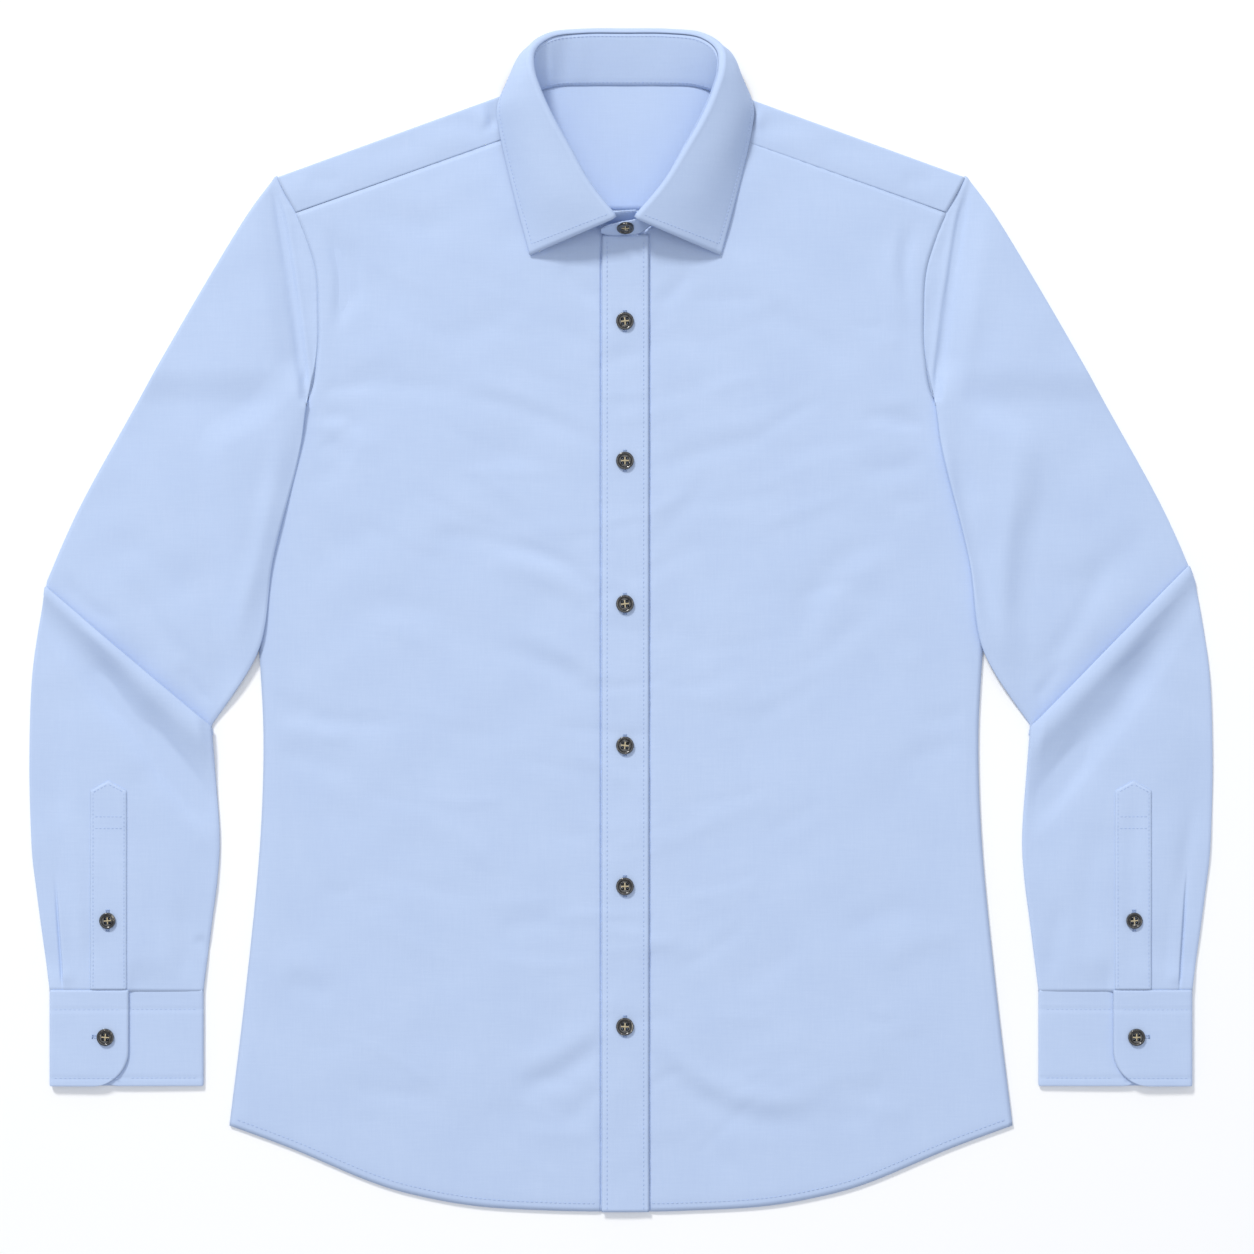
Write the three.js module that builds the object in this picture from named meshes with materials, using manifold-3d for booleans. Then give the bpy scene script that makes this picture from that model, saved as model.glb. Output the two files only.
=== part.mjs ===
// Long sleeve dress shirt, buttoned and laid flat on its back, sleeves folded down beside the body.
// Millimetres. +Z is up from the surface it lies on, +Y runs from the hem to the collar, and the
// origin is on the surface, at the middle of the shirt. Side -1 is at -X and side +1 is at +X.
import * as THREE from 'three';
import { mergeVertices } from 'three/addons/utils/BufferGeometryUtils.js';
import Module from 'manifold-3d';

const wasm = await Module();
wasm.setup();

// Driving dimensions
const CLOTH = 1.2;
const SEAM = 0.3;
const STIFF = 1.5;
const LAYER = CLOTH + SEAM;
const PLACKET_X = [-13, 19];
const PLACKET_TOP = 262;
const NECK_X = 3;
const BUTTON_X = 2.7;
const BUTTON_R = 5.8;
const SMALL_BUTTON_R = 5.5;
const BUTTON_PITCH = 95.7;
const TOP_BUTTON_Y = 203;
const FRONT_BUTTONS = 6;
const BUTTON_SIDES = 14;
const HOLE_SIDES = 5;
const CUFF_TOP = -250.7;
const CUFF_BOTTOM = -316;
const CUFF_CORNER_R = 16;
const ROLL_R = 2.4;
const LEAF_RISE = 3;

const CLOTH_MATERIAL = { color: 0xbed3f5, roughness: 0.85, metalness: 0 };
const BUTTON_MATERIAL = { color: 0x4a4540, roughness: 0.3, metalness: 0 };

// Outlines of the -X half, from the measured garment; the +X half mirrors them
const SIDE_SEAM = [[-266, -343], [-256, -261], [-246, -163], [-242.8, -90], [-245, -32], [-251, 40], [-258, 112]];
const ARMHOLE = [[-258, 112], [-232, 126], [-212, 151], [-206.5, 180], [-205.7, 206], [-208, 240], [-221, 277]];
const HEM = [[-266, -343], [-223, -359], [-172, -380.5], [-139, -390.5], [-96, -398], [-41, -401], [0, -401.5]];
const FRONT_YOKE_SEAM = [[-221, 277], [-70, 332.4]];
const SHOULDER_FOLD = [[-234, 301], [-69, 361]];
const BACK_YOKE_Y = 279;

// Sleeve edges, outer then underarm, with the elbow fold between the two tables
const HEAD_GAP = 0.7;
const SLEEVE_HEAD_TOP = [[-235, 301.4], [-228.7, 289]];
const UPPER_OUTER = [[-235, 301.4], [-256, 272], [-295, 207], [-332, 142], [-368, 76.5], [-390, 27]];
const UPPER_INNER = [[-212.7, 151], [-214.5, 137], [-219, 109], [-236, 41], [-245.5, -19.5], [-278, -71]];
const LOWER_OUTER = [[-390, 27], [-399.5, -32], [-402, -95], [-400.5, -152], [-397, -185], [-388, -250.4]];
const LOWER_INNER = [[-278, -71], [-275.5, -105], [-272.7, -146], [-274, -174], [-278, -206], [-283.6, -250.4]];
// The right elbow's fold starts higher up the outer edge than the left one's
const ELBOW_OUTER = { left: [-389, 24], right: [-386, 39] };
const ELBOW = { inner: [-278, -71], height: 6, rise: 7, fall: 26, outerHeight: 3 };
const CUFF_PLEAT = { top: [-384, -168], bottom: [-378.5, -251], height: 1.3, rise: 2.5, fall: 9, fadeOver: 26 };
const SLEEVE_ROWS = { upper: 12, lower: 13 };
const SLEEVE_ACROSS = [0, 0.035, 0.07, 0.1, 0.15, 0.24, 0.36, 0.48, 0.6, 0.72, 0.84, 0.93, 1];
const EDGE_R = (2 * CLOTH + SEAM) / 2;
const TORSO_RAMP = [26, 64];

// Collar stations from centre back to the front, x from the collar's middle. base is the seam of the
// stand, roll the fold line, edge the leaf's outer edge. crown is the soft bulge of the leaf.
const COLLAR = [
  { base: [0, 363.5, 2.5], roll: [0, 400.8, 9], edge: [0, 367, 0.95], crown: 0 },
  { base: [-25, 363.5, 2.5], roll: [-30, 400.4, 9.5], edge: [-30, 367.5, 0.95], crown: 0 },
  { base: [-48, 362.5, 2.8], roll: [-50, 396.8, 14], edge: [-55, 372, 1.5], crown: 1 },
  { base: [-62, 357, 3.7], roll: [-60.5, 387, 21], edge: [-70, 377, 2.8], crown: 3 },
  { base: [-69, 346, 3.8], roll: [-61, 373, 26], edge: [-80.5, 364, 4.8], crown: 3 },
  { base: [-71, 331, 3.8], roll: [-56, 357, 27], edge: [-87, 348, 5.4], crown: 3.5 },
  { base: [-64, 314, 3.8], roll: [-47.5, 338.5, 27], edge: [-85.5, 332, 5.4], crown: 4 },
  { base: [-53, 293, 3.8], roll: [-36, 318, 26], edge: [-81.5, 313, 5.2], crown: 4.5 },
  { base: [-38, 278, 3.8], roll: [-23, 295, 25], edge: [-75.5, 288, 5.2], crown: 4.5 },
  { base: [-18, 268.5, 3.9], roll: [-9, 276.5, 24], edge: [-64.8, 247.6, 5], crown: 2.5 },
];
// Ends of the stand at centre front: the button end passes behind, the buttonhole end in front
const STAND_UNDER_END = [
  { base: [-3, 268.5, 3.9], roll: [-1, 277.5, 22] },
  { base: [9, 269, 3.9], roll: [7, 278.5, 20] },
];
const STAND_OVER_END = [
  { base: [9, 263, 5.6], roll: [8, 273, 24] },
  { base: [-3, 262, 5.6], roll: [-3.5, 270, 24.5] },
  { base: [-12, 262.2, 5.6], roll: [-12.5, 268.6, 22.5] },
  { base: [-16.4, 263.6, 9], roll: [-16.6, 267, 18.5] },
];
const STAND_STEPS = 3;
const LEAF_STEPS = 3;
const NECK_BUTTON = { at: [BUTTON_X, 265.1, 16.6], tilt: 1.16 };
const SLEEVE_PLACKET = { left: -360, right: -335, peak: -108.5, shoulder: -115.5, rows: 8 };
const PLACKET_BUTTON = [-348, -203.5];
const CUFF_BUTTON = [-349.5, -282.5];
const CUFF = { outer: -388, inner: -283.6, lapEdge: -334, underEdge: -353 };

const v2 = (p) => new THREE.Vector2(p[0], p[1]);
const v3 = (p) => new THREE.Vector3(p[0], p[1], p[2]);
const smooth = (a, b, x) => THREE.MathUtils.smoothstep(x, a, b);
const mirrored = (points) => points.map(([x, y]) => [-x, y]).reverse();

// Evenly spaced points on a smooth curve through the given ones
function along(points, steps) {
  const curve = new THREE.SplineCurve(points.map(v2));
  return curve.getSpacedPoints(steps).map((p) => [p.x, p.y]);
}

const chain = (...parts) => parts.flatMap((part, k) => (k ? part.slice(1) : part));

// Coons patch between four edges: bottom and top run along u, left and right along v
function patch(bottom, top, left, right) {
  const nu = bottom.length - 1;
  const nv = left.length - 1;
  return left.map((_, j) => bottom.map((__, i) => {
    const u = i / nu;
    const v = j / nv;
    return [0, 1].map((k) => (1 - v) * bottom[i][k] + v * top[i][k] + (1 - u) * left[j][k] + u * right[j][k]
      - (1 - u) * (1 - v) * bottom[0][k] - u * (1 - v) * bottom[nu][k]
      - (1 - u) * v * top[0][k] - u * v * top[nu][k]);
  }));
}

function geometryFrom(positions, indices) {
  const geometry = new THREE.BufferGeometry();
  geometry.setAttribute('position', new THREE.Float32BufferAttribute(positions.flat(), 3));
  geometry.setIndex(indices);
  return mergeVertices(geometry, 1e-4);
}

// Turns a shell the right way out: its signed volume has to be positive
function facingOut(positions, indices) {
  let volume = 0;
  for (let k = 0; k < indices.length; k += 3) {
    const [a, b, c] = [0, 1, 2].map((n) => v3(positions[indices[k + n]]));
    volume += a.dot(b.cross(c));
  }
  if (volume < 0) indices.reverse();
  return geometryFrom(positions, indices);
}

// A closed wall between two grids of points, rows by columns. A ring wall joins its last column to
// its first, as a tube does, and has no side walls.
function wall(outer, inner, ring = false) {
  const rows = outer.length;
  const cols = outer[0].length;
  const positions = [...outer.flat(), ...inner.flat()];
  const indices = [];
  const at = (layer, j, i) => layer * rows * cols + j * cols + (i % cols);
  const quad = (a, b, c, d) => indices.push(a, b, c, a, c, d);
  const spans = ring ? cols : cols - 1;
  for (let j = 0; j < rows - 1; j += 1) {
    for (let i = 0; i < spans; i += 1) {
      quad(at(0, j, i), at(0, j, i + 1), at(0, j + 1, i + 1), at(0, j + 1, i));
      quad(at(1, j, i), at(1, j + 1, i), at(1, j + 1, i + 1), at(1, j, i + 1));
    }
  }
  for (let i = 0; i < spans; i += 1) {
    quad(at(0, 0, i + 1), at(0, 0, i), at(1, 0, i), at(1, 0, i + 1));
    quad(at(0, rows - 1, i), at(0, rows - 1, i + 1), at(1, rows - 1, i + 1), at(1, rows - 1, i));
  }
  if (!ring) {
    for (let j = 0; j < rows - 1; j += 1) {
      quad(at(0, j, 0), at(0, j + 1, 0), at(1, j + 1, 0), at(1, j, 0));
      quad(at(0, j + 1, cols - 1), at(0, j, cols - 1), at(1, j, cols - 1), at(1, j + 1, cols - 1));
    }
  }
  return facingOut(positions, indices);
}

// A flat panel from a plan grid, its underside at height z
const panel = (grid, z) => wall(
  grid.map((row) => row.map(([x, y]) => [x, y, z + CLOTH])),
  grid.map((row) => row.map(([x, y]) => [x, y, z])),
);

const flipX = (grid) => grid.map((row) => row.map(([x, ...rest]) => [-x, ...rest]));

function toManifold(geometry) {
  return new wasm.Manifold(new wasm.Mesh({
    numProp: 3,
    vertProperties: new Float32Array(geometry.attributes.position.array),
    triVerts: new Uint32Array(geometry.index.array),
  }));
}

function fromManifold(solid) {
  const mesh = solid.getMesh();
  const geometry = new THREE.BufferGeometry();
  geometry.setAttribute('position', new THREE.BufferAttribute(new Float32Array(mesh.vertProperties), 3));
  geometry.setIndex(new THREE.BufferAttribute(new Uint32Array(mesh.triVerts), 1));
  return geometry;
}

const group = new THREE.Group();

function add(name, geometry, look = CLOTH_MATERIAL) {
  const mesh = new THREE.Mesh(geometry, new THREE.MeshStandardMaterial(look));
  mesh.name = name;
  group.add(mesh);
  return mesh;
}

// Body panels
const SIDE_STEPS = 13;
const ARM_STEPS = 9;
const sideEdge = chain(along(SIDE_SEAM, SIDE_STEPS), along(ARMHOLE, ARM_STEPS));

function backPanel() {
  const hemHalf = along(HEM, 7);
  const hem = chain(hemHalf, mirrored(hemHalf));
  const corner = ARMHOLE.at(-1);
  const top = hem.map((_, i) => [corner[0] * (1 - 2 * i / (hem.length - 1)), BACK_YOKE_Y - SEAM]);
  const left = sideEdge.map((p) => [...p]);
  left[left.length - 1] = [...top[0]];
  return panel(patch(hem, top, left, left.map(([x, y]) => [-x, y])), 0);
}

// Base of the stand in plan, from the shoulder to the front, on side s
const neckline = (s) => COLLAR.slice(5).map(({ base }) => [NECK_X + s * -base[0], base[1]]);

// centreX is the cut front edge under the placket. Built for side -1; side +1 is the mirror of it.
function frontPanel(side, centreX) {
  const neck = neckline(side).map(([x, y]) => [-side * x, y]);
  const seam = along([[-221, 277 - SEAM], [neck[0][0], neck[0][1]]], 5);
  const neckEdge = along([...neck, [centreX, PLACKET_TOP + 1]], 8);
  const hemEdge = along([...HEM.slice(0, -1), [centreX, HEM.at(-1)[1]]], 13);
  const left = sideEdge.map((p) => [...p]);
  left[left.length - 1] = [...seam[0]];
  const right = along([[centreX, HEM.at(-1)[1]], [centreX, PLACKET_TOP + 1]], left.length - 1);
  const grid = patch(hemEdge, chain(seam, neckEdge), left, right);
  return panel(side < 0 ? grid : flipX(grid), LAYER);
}

// The yoke: one piece that folds over both shoulders
function yokePiece() {
  const inset = 3;
  const foldY = ([x, y]) => [x * 0.995, y - inset];
  const shoulder = along(SHOULDER_FOLD, 5).map(foldY);
  const neck = along([shoulder.at(-1), [-40, 362.6], [0, 364.4]], 3);
  const half = chain(shoulder, neck);
  const top = chain(half, mirrored(half));
  const bottom = top.map((_, i) => [-221.7 * (1 - 2 * i / (top.length - 1)), BACK_YOKE_Y]);
  const left = along([bottom[0], top[0]], 3);
  const base = toManifold(panel(patch(bottom, top, left, left.map(([x, y]) => [-x, y])), 0));
  const strip = toManifold(shoulderStrip(-1));
  const other = toManifold(shoulderStrip(1));
  return fromManifold(base.add(strip).add(other));
}

// The folded strip of the yoke along one shoulder, from under the fold to the seam on the chest
function shoulderStrip(side) {
  const tuck = 10;
  const steps = 7;
  const folds = along(SHOULDER_FOLD, steps);
  const neckEnd = neckline(side)[0];
  const seams = along([FRONT_YOKE_SEAM[0], [-side * neckEnd[0], neckEnd[1] + SEAM]], steps);
  const round = [0, 1, 2, 3, 4].map((k) => -Math.PI / 2 - (k * Math.PI) / 4);
  const rows = folds.map((fold, j) => {
    const across = v2(seams[j]).sub(v2(fold));
    const width = across.length();
    across.normalize();
    const point = (a, z) => [fold[0] + across.x * a, fold[1] + across.y * a, z];
    const arc = (r) => round.map((t) => point(EDGE_R + r * Math.cos(t), EDGE_R + r * Math.sin(t)));
    const lower = Math.min(tuck, width * 0.4);
    return {
      outer: [point(lower, 0), ...arc(EDGE_R), point(width, 2 * EDGE_R)],
      inner: [point(lower, CLOTH), ...arc(SEAM / 2), point(width, CLOTH + SEAM)],
    };
  });
  const grid = (key) => (side < 0 ? rows.map((r) => r[key]) : flipX(rows.map((r) => r[key])));
  return wall(grid('outer'), grid('inner'));
}

function frontPlacket() {
  const rows = 14;
  const bottom = HEM.at(-1)[1];
  const grid = Array.from({ length: rows + 1 }, (_, j) => PLACKET_X.map(
    (x) => [x, THREE.MathUtils.lerp(bottom, PLACKET_TOP, j / rows)],
  ));
  return panel(grid, 2 * LAYER);
}

// Height of the folds on a sleeve's top layer, over its plain level
function relief(x, y, side) {
  const a = v2(side < 0 ? ELBOW_OUTER.left : ELBOW_OUTER.right);
  const b = v2(ELBOW.inner);
  const line = b.clone().sub(a);
  const length = line.length();
  const dir = line.divideScalar(length);
  const p = new THREE.Vector2(x, y).sub(a);
  const t = p.dot(dir) / length;
  const d = p.x * dir.y - p.y * dir.x;
  const bulge = Math.sin(Math.PI * THREE.MathUtils.clamp(t, 0, 1));
  const height = THREE.MathUtils.lerp(ELBOW.outerHeight, ELBOW.height, bulge);
  const fold = height * smooth(-ELBOW.rise, 0, d) * (1 - smooth(2, ELBOW.fall, d));
  const q = (CUFF_PLEAT.top[1] - y) / (CUFF_PLEAT.top[1] - CUFF_PLEAT.bottom[1]);
  const lineX = THREE.MathUtils.lerp(CUFF_PLEAT.top[0], CUFF_PLEAT.bottom[0], q);
  const across = x - lineX;
  const fade = smooth(CUFF_PLEAT.top[1] - CUFF_PLEAT.fadeOver, CUFF_PLEAT.top[1], y);
  const pleat = CUFF_PLEAT.height * (1 - fade) * smooth(-CUFF_PLEAT.rise, 0, across)
    * (1 - smooth(1, CUFF_PLEAT.fall, across));
  return fold + pleat;
}

// The body's edge that a sleeve lies over, from the front of the armhole down the side seam
const UNDER_SLEEVE = [[-211, 151], ...ARMHOLE.slice(0, 2).reverse(), ...SIDE_SEAM.slice(3, 6).reverse()];

// How far the sleeve is lifted where it lies on the body
function lift(x, y) {
  const polygon = [...UNDER_SLEEVE, [-150, -90], [-150, 151]];
  let inside = false;
  let nearest = Infinity;
  polygon.forEach((a, k) => {
    const b = polygon[(k + 1) % polygon.length];
    if ((a[1] > y) !== (b[1] > y) && x < ((b[0] - a[0]) * (y - a[1])) / (b[1] - a[1]) + a[0]) inside = !inside;
    const edge = v2(b).sub(v2(a));
    const t = THREE.MathUtils.clamp(new THREE.Vector2(x, y).sub(v2(a)).dot(edge) / edge.lengthSq(), 0, 1);
    nearest = Math.min(nearest, Math.hypot(a[0] + edge.x * t - x, a[1] + edge.y * t - y));
  });
  return 2 * LAYER * (inside ? 1 : 1 - smooth(TORSO_RAMP[0], TORSO_RAMP[1], nearest));
}

// Points of one row of the sleeve tube, outside and inside, round from the outer edge over the top
function sleeveRow(row, side) {
  const outer = [];
  const inner = [];
  const n = row.length - 1;
  const toward = (from, to) => v2(to).sub(v2(from)).normalize();
  const put = (list, p, z) => list.push([p.x, p.y, z]);
  const edge = (end, inward, turns) => turns.forEach((t) => {
    const plan = (r) => v2(end).addScaledVector(inward, EDGE_R - r * Math.cos(t));
    const z = lift(...end) + EDGE_R;
    put(outer, plan(EDGE_R), z + EDGE_R * Math.sin(t));
    put(inner, plan(SEAM / 2), z + (SEAM / 2) * Math.sin(t));
  });
  const quarter = Math.PI / 4;
  edge(row[0], toward(row[0], row[1]), [-2 * quarter, -quarter, 0, quarter]);
  for (let i = 1; i < n; i += 1) {
    const [x, y] = row[i];
    const up = lift(x, y);
    const h = relief(x, y, side);
    const step = 0.5;
    const slope = Math.hypot((relief(x + step, y, side) - h) / step, (relief(x, y + step, side) - h) / step);
    put(outer, v2(row[i]), up + 2 * EDGE_R + h);
    put(inner, v2(row[i]), up + Math.max(2 * EDGE_R + h - CLOTH * Math.hypot(1, slope), CLOTH + SEAM / 2));
  }
  edge(row[n], toward(row[n], row[n - 1]), [quarter, 0, -quarter, -2 * quarter]);
  for (let i = n - 2; i > 1; i -= 2) {
    const up = lift(...row[i]);
    put(outer, v2(row[i]), up);
    put(inner, v2(row[i]), up + CLOTH);
  }
  return { outer, inner };
}

function sleeve(side) {
  const { upper, lower } = SLEEVE_ROWS;
  const spread = (points) => {
    const curve = new THREE.SplineCurve(points.map(v2));
    return SLEEVE_ACROSS.map((f) => curve.getPointAt(f)).map((p) => [p.x, p.y]);
  };
  const head = spread([...SLEEVE_HEAD_TOP, ...ARMHOLE.slice(2).reverse().map(([x, y]) => [x - HEAD_GAP, y])]);
  const elbow = spread([UPPER_OUTER.at(-1), UPPER_INNER.at(-1)]);
  const cuffLine = spread([LOWER_OUTER.at(-1), LOWER_INNER.at(-1)]);
  const top = patch(head, elbow, along(UPPER_OUTER, upper), along(UPPER_INNER, upper));
  const bottom = patch(elbow, cuffLine, along(LOWER_OUTER, lower), along(LOWER_INNER, lower));
  const rows = chain(top, bottom).map((row) => sleeveRow(row, side));
  const grid = (key) => (side < 0 ? rows.map((r) => r[key]) : flipX(rows.map((r) => r[key])));
  return wall(grid('outer'), grid('inner'), true);
}

// The pointed placket lies on the sleeve's top layer
function sleevePlacket(side) {
  const { left, right, peak, shoulder, rows } = SLEEVE_PLACKET;
  const columns = [left, (left + right) / 2, right];
  const tops = [shoulder, peak, shoulder];
  const grid = Array.from({ length: rows + 1 }, (_, j) => columns.map(
    (x, i) => [x, THREE.MathUtils.lerp(CUFF_TOP + SEAM, tops[i], j / rows)],
  ));
  const raise = (z) => grid.map((row) => row.map(([x, y]) => [x, y, 2 * EDGE_R + SEAM + z]));
  const [outer, inner] = [raise(CLOTH), raise(0)];
  return side < 0 ? wall(outer, inner) : wall(flipX(outer), flipX(inner));
}

// A cuff is one strip wrapped round: the lap on top, round under the wrist, back under the lap
function cuff(side) {
  const half = STIFF / 2;
  const levels = { under: half, inner: half + STIFF + SEAM, lap: half + 2 * (STIFF + SEAM) };
  const path = [];
  const bend = (x, low, high, sign, up) => {
    const r = (high - low) / 2;
    const turns = up ? [-2, -1, 0, 1, 2] : [2, 1, 0, -1, -2];
    turns.map((k) => (k * Math.PI) / 4).forEach((t) => path.push({
      x: x + sign * (r * Math.cos(t) - r - half), z: (low + high) / 2 + r * Math.sin(t),
      nx: sign * Math.cos(t), nz: Math.sin(t),
    }));
  };
  const flat = (x, z, nz) => path.push({ x, z, nx: 0, nz });
  flat(CUFF.lapEdge, levels.lap, 1);
  flat((CUFF.lapEdge + CUFF.outer) / 2, levels.lap, 1);
  bend(CUFF.outer, levels.under, levels.lap, -1, false);
  flat((CUFF.outer + CUFF.inner) / 2, levels.under, -1);
  bend(CUFF.inner, levels.under, levels.inner, 1, true);
  flat((CUFF.inner + CUFF.lapEdge) / 2, levels.inner, 1);
  flat(CUFF.underEdge, levels.inner, 1);
  const corner = CUFF_CORNER_R;
  const rounds = [0, 1, 2, 3, 4, 5].map((k) => corner * (1 - Math.cos((k * Math.PI) / 10)));
  const ys = [...rounds.map((d) => CUFF_BOTTOM + d), CUFF_TOP];
  const cut = (y) => {
    const up = Math.max(0, corner - (y - CUFF_BOTTOM));
    return corner - Math.sqrt(corner * corner - up * up);
  };
  const rows = (sign) => ys.map((y) => path.map(({ x, z, nx, nz }, i) => {
    const back = i === 0 ? -cut(y) : i === path.length - 1 ? cut(y) : 0;
    return [x + back + sign * half * nx, y, z + sign * half * nz];
  }));
  return side < 0 ? wall(rows(1), rows(-1)) : wall(flipX(rows(1)), flipX(rows(-1)));
}

// Smooth interpolation of one column of the collar table
function stations(table, key, steps) {
  const curve = new THREE.CatmullRomCurve3(table.map((row) => v3(row[key])), false, 'centripetal');
  return Array.from({ length: (table.length - 1) * steps + 1 }, (_, k) => curve.getPoint(k / ((table.length - 1) * steps)));
}

const fullTable = (rows) => [
  ...rows.slice(1).reverse(),
  ...rows.map((row) => Object.fromEntries(Object.entries(row).map(
    ([key, value]) => [key, Array.isArray(value) ? [-value[0], value[1], value[2]] : value],
  ))),
];

// The stand: a band from base to just under the roll, ends crossing at the front
function collarStand() {
  const table = [...STAND_UNDER_END.slice().reverse(), ...fullTable(COLLAR), ...STAND_OVER_END];
  const base = stations(table, 'base', STAND_STEPS);
  const roll = stations(table, 'roll', STAND_STEPS);
  const heights = [0, 0.5, 1];
  const grids = { outer: [], inner: [] };
  base.forEach((foot, k) => {
    const before = Math.max(0, k - 1);
    const after = Math.min(base.length - 1, k + 1);
    const up = roll[k].clone().sub(foot);
    const reach = Math.max(0.2, 1 - (LEAF_RISE + SEAM) / up.length());
    const run = base[after].clone().sub(base[before]).add(roll[after].clone().sub(roll[before]));
    const normal = run.cross(up).normalize().multiplyScalar(STIFF / 2);
    const place = (h, s) => foot.clone().addScaledVector(up, reach * h).addScaledVector(normal, s).add(
      new THREE.Vector3(NECK_X, 0, 0),
    ).toArray();
    grids.outer.push(heights.map((h) => place(h, 1)));
    grids.inner.push(heights.map((h) => place(h, -1)));
  });
  return wall(grids.outer, grids.inner);
}

// Middle line of the leaf at one station: up from the stand, over the roll, down to the edge
function leafLine(foot, roll, edge, run, crown) {
  const up = roll.clone().sub(foot).normalize();
  const out = up.clone().cross(run).normalize();
  const start = roll.clone().addScaledVector(up, -LEAF_RISE);
  const centre = start.clone().addScaledVector(out, ROLL_R);
  const reach = edge.clone().sub(centre);
  const [a, b] = [reach.dot(up), reach.dot(out)];
  // Always turned away from the wearer's neck, also where the edge lies square under the roll
  const swing = Math.atan2(b, a);
  const turn = (swing < 0 ? swing + 2 * Math.PI : swing) + Math.asin(ROLL_R / Math.hypot(a, b));
  const arcSteps = 5;
  const line = [];
  const facing = (t) => up.clone().multiplyScalar(Math.sin(t)).addScaledVector(out, -Math.cos(t));
  for (let k = 0; k <= arcSteps; k += 1) {
    const normal = facing((turn * k) / arcSteps);
    line.push({ point: centre.clone().addScaledVector(normal, ROLL_R), normal });
  }
  const end = line[arcSteps].point;
  const normal = facing(turn);
  [0.2, 0.4, 0.6, 0.8, 1].forEach((f) => line.push({
    point: end.clone().lerp(edge, f).addScaledVector(normal, crown * Math.sin(Math.PI * f)), normal,
  }));
  return line;
}

function collarLeaf() {
  const table = fullTable(COLLAR);
  const [base, roll, edge] = ['base', 'roll', 'edge'].map((key) => stations(table, key, LEAF_STEPS));
  const crowns = table.map((row) => row.crown);
  const grids = { outer: [], inner: [] };
  roll.forEach((top, k) => {
    const run = roll[Math.min(roll.length - 1, k + 1)].clone().sub(roll[Math.max(0, k - 1)]);
    const row = Math.min(crowns.length - 2, Math.floor(k / LEAF_STEPS));
    const crown = THREE.MathUtils.lerp(crowns[row], crowns[row + 1], k / LEAF_STEPS - row);
    const line = leafLine(base[k], top, edge[k], run, crown);
    const place = ({ point, normal }, s) => point.clone().addScaledVector(normal, (s * STIFF) / 2).add(
      new THREE.Vector3(NECK_X, 0, 0),
    ).toArray();
    grids.outer.push(line.map((p) => place(p, 1)));
    grids.inner.push(line.map((p) => place(p, -1)));
  });
  return wall(grids.outer, grids.inner);
}

// A four-hole button: a dished disc with a raised rim
function buttonGeometry(radius) {
  const holeR = radius * 0.13;
  const holeAt = radius * 0.21;
  const thick = 2.4;
  const dish = thick - 0.8;
  const profile = [[0, 0], [radius * 0.86, 0], [radius, 0.8], [radius, 1.5], [radius * 0.9, thick],
    [radius * 0.72, thick - 0.1], [radius * 0.5, dish], [0, dish]].map(v2);
  const disc = new THREE.LatheGeometry(profile, BUTTON_SIDES).rotateX(Math.PI / 2);
  const plain = (geometry) => {
    geometry.deleteAttribute('normal');
    geometry.deleteAttribute('uv');
    return toManifold(mergeVertices(geometry, 1e-4));
  };
  let solid = plain(disc);
  [[1, 1], [1, -1], [-1, 1], [-1, -1]].forEach(([sx, sy]) => {
    const drill = new THREE.CylinderGeometry(holeR, holeR, 4 * thick, HOLE_SIDES).rotateX(Math.PI / 2);
    solid = solid.subtract(plain(drill.translate(sx * holeAt, sy * holeAt, 0)));
  });
  return fromManifold(solid);
}

const placketTop = 2 * LAYER + CLOTH;
const sleevePlacketTop = 2 * EDGE_R + SEAM + CLOTH;
const cuffTop = 3 * STIFF + 2 * SEAM;

add('back', backPanel());
add('yoke', yokePiece());
add('front_left', frontPanel(-1, 12));
add('front_right', frontPanel(1, -12.4));
add('front_placket', frontPlacket());
add('collar_stand', collarStand());
add('collar_leaf', collarLeaf());
for (const [side, word] of [[-1, 'left'], [1, 'right']]) {
  add(`sleeve_${word}`, sleeve(side));
  add(`sleeve_placket_${word}`, sleevePlacket(side));
  add(`cuff_${word}`, cuff(side));
  const placketButton = add(`button_placket_${word}`, buttonGeometry(SMALL_BUTTON_R), BUTTON_MATERIAL);
  placketButton.position.set(-side * PLACKET_BUTTON[0], PLACKET_BUTTON[1], sleevePlacketTop + SEAM);
  const cuffButton = add(`button_cuff_${word}`, buttonGeometry(BUTTON_R), BUTTON_MATERIAL);
  cuffButton.position.set(-side * CUFF_BUTTON[0], CUFF_BUTTON[1], cuffTop + SEAM);
}
for (let k = 0; k < FRONT_BUTTONS; k += 1) {
  const button = add(`button_front_${k + 1}`, buttonGeometry(BUTTON_R), BUTTON_MATERIAL);
  button.position.set(BUTTON_X, TOP_BUTTON_Y - BUTTON_PITCH * k, placketTop + SEAM);
}
const neckButton = add('button_neck', buttonGeometry(BUTTON_R), BUTTON_MATERIAL);
neckButton.position.set(...NECK_BUTTON.at);
neckButton.rotation.x = NECK_BUTTON.tilt;

export default group;
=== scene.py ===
# %% [markdown]
# A long sleeve dress shirt, buttoned and laid flat on a pale surface, seen from straight above.
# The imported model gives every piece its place. Each cloth piece is drawn again here as a thin
# shell on its solid's form, with the folds, the stitching and the weave that a solid leaves out.

# %% Load the frame
import math

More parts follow.
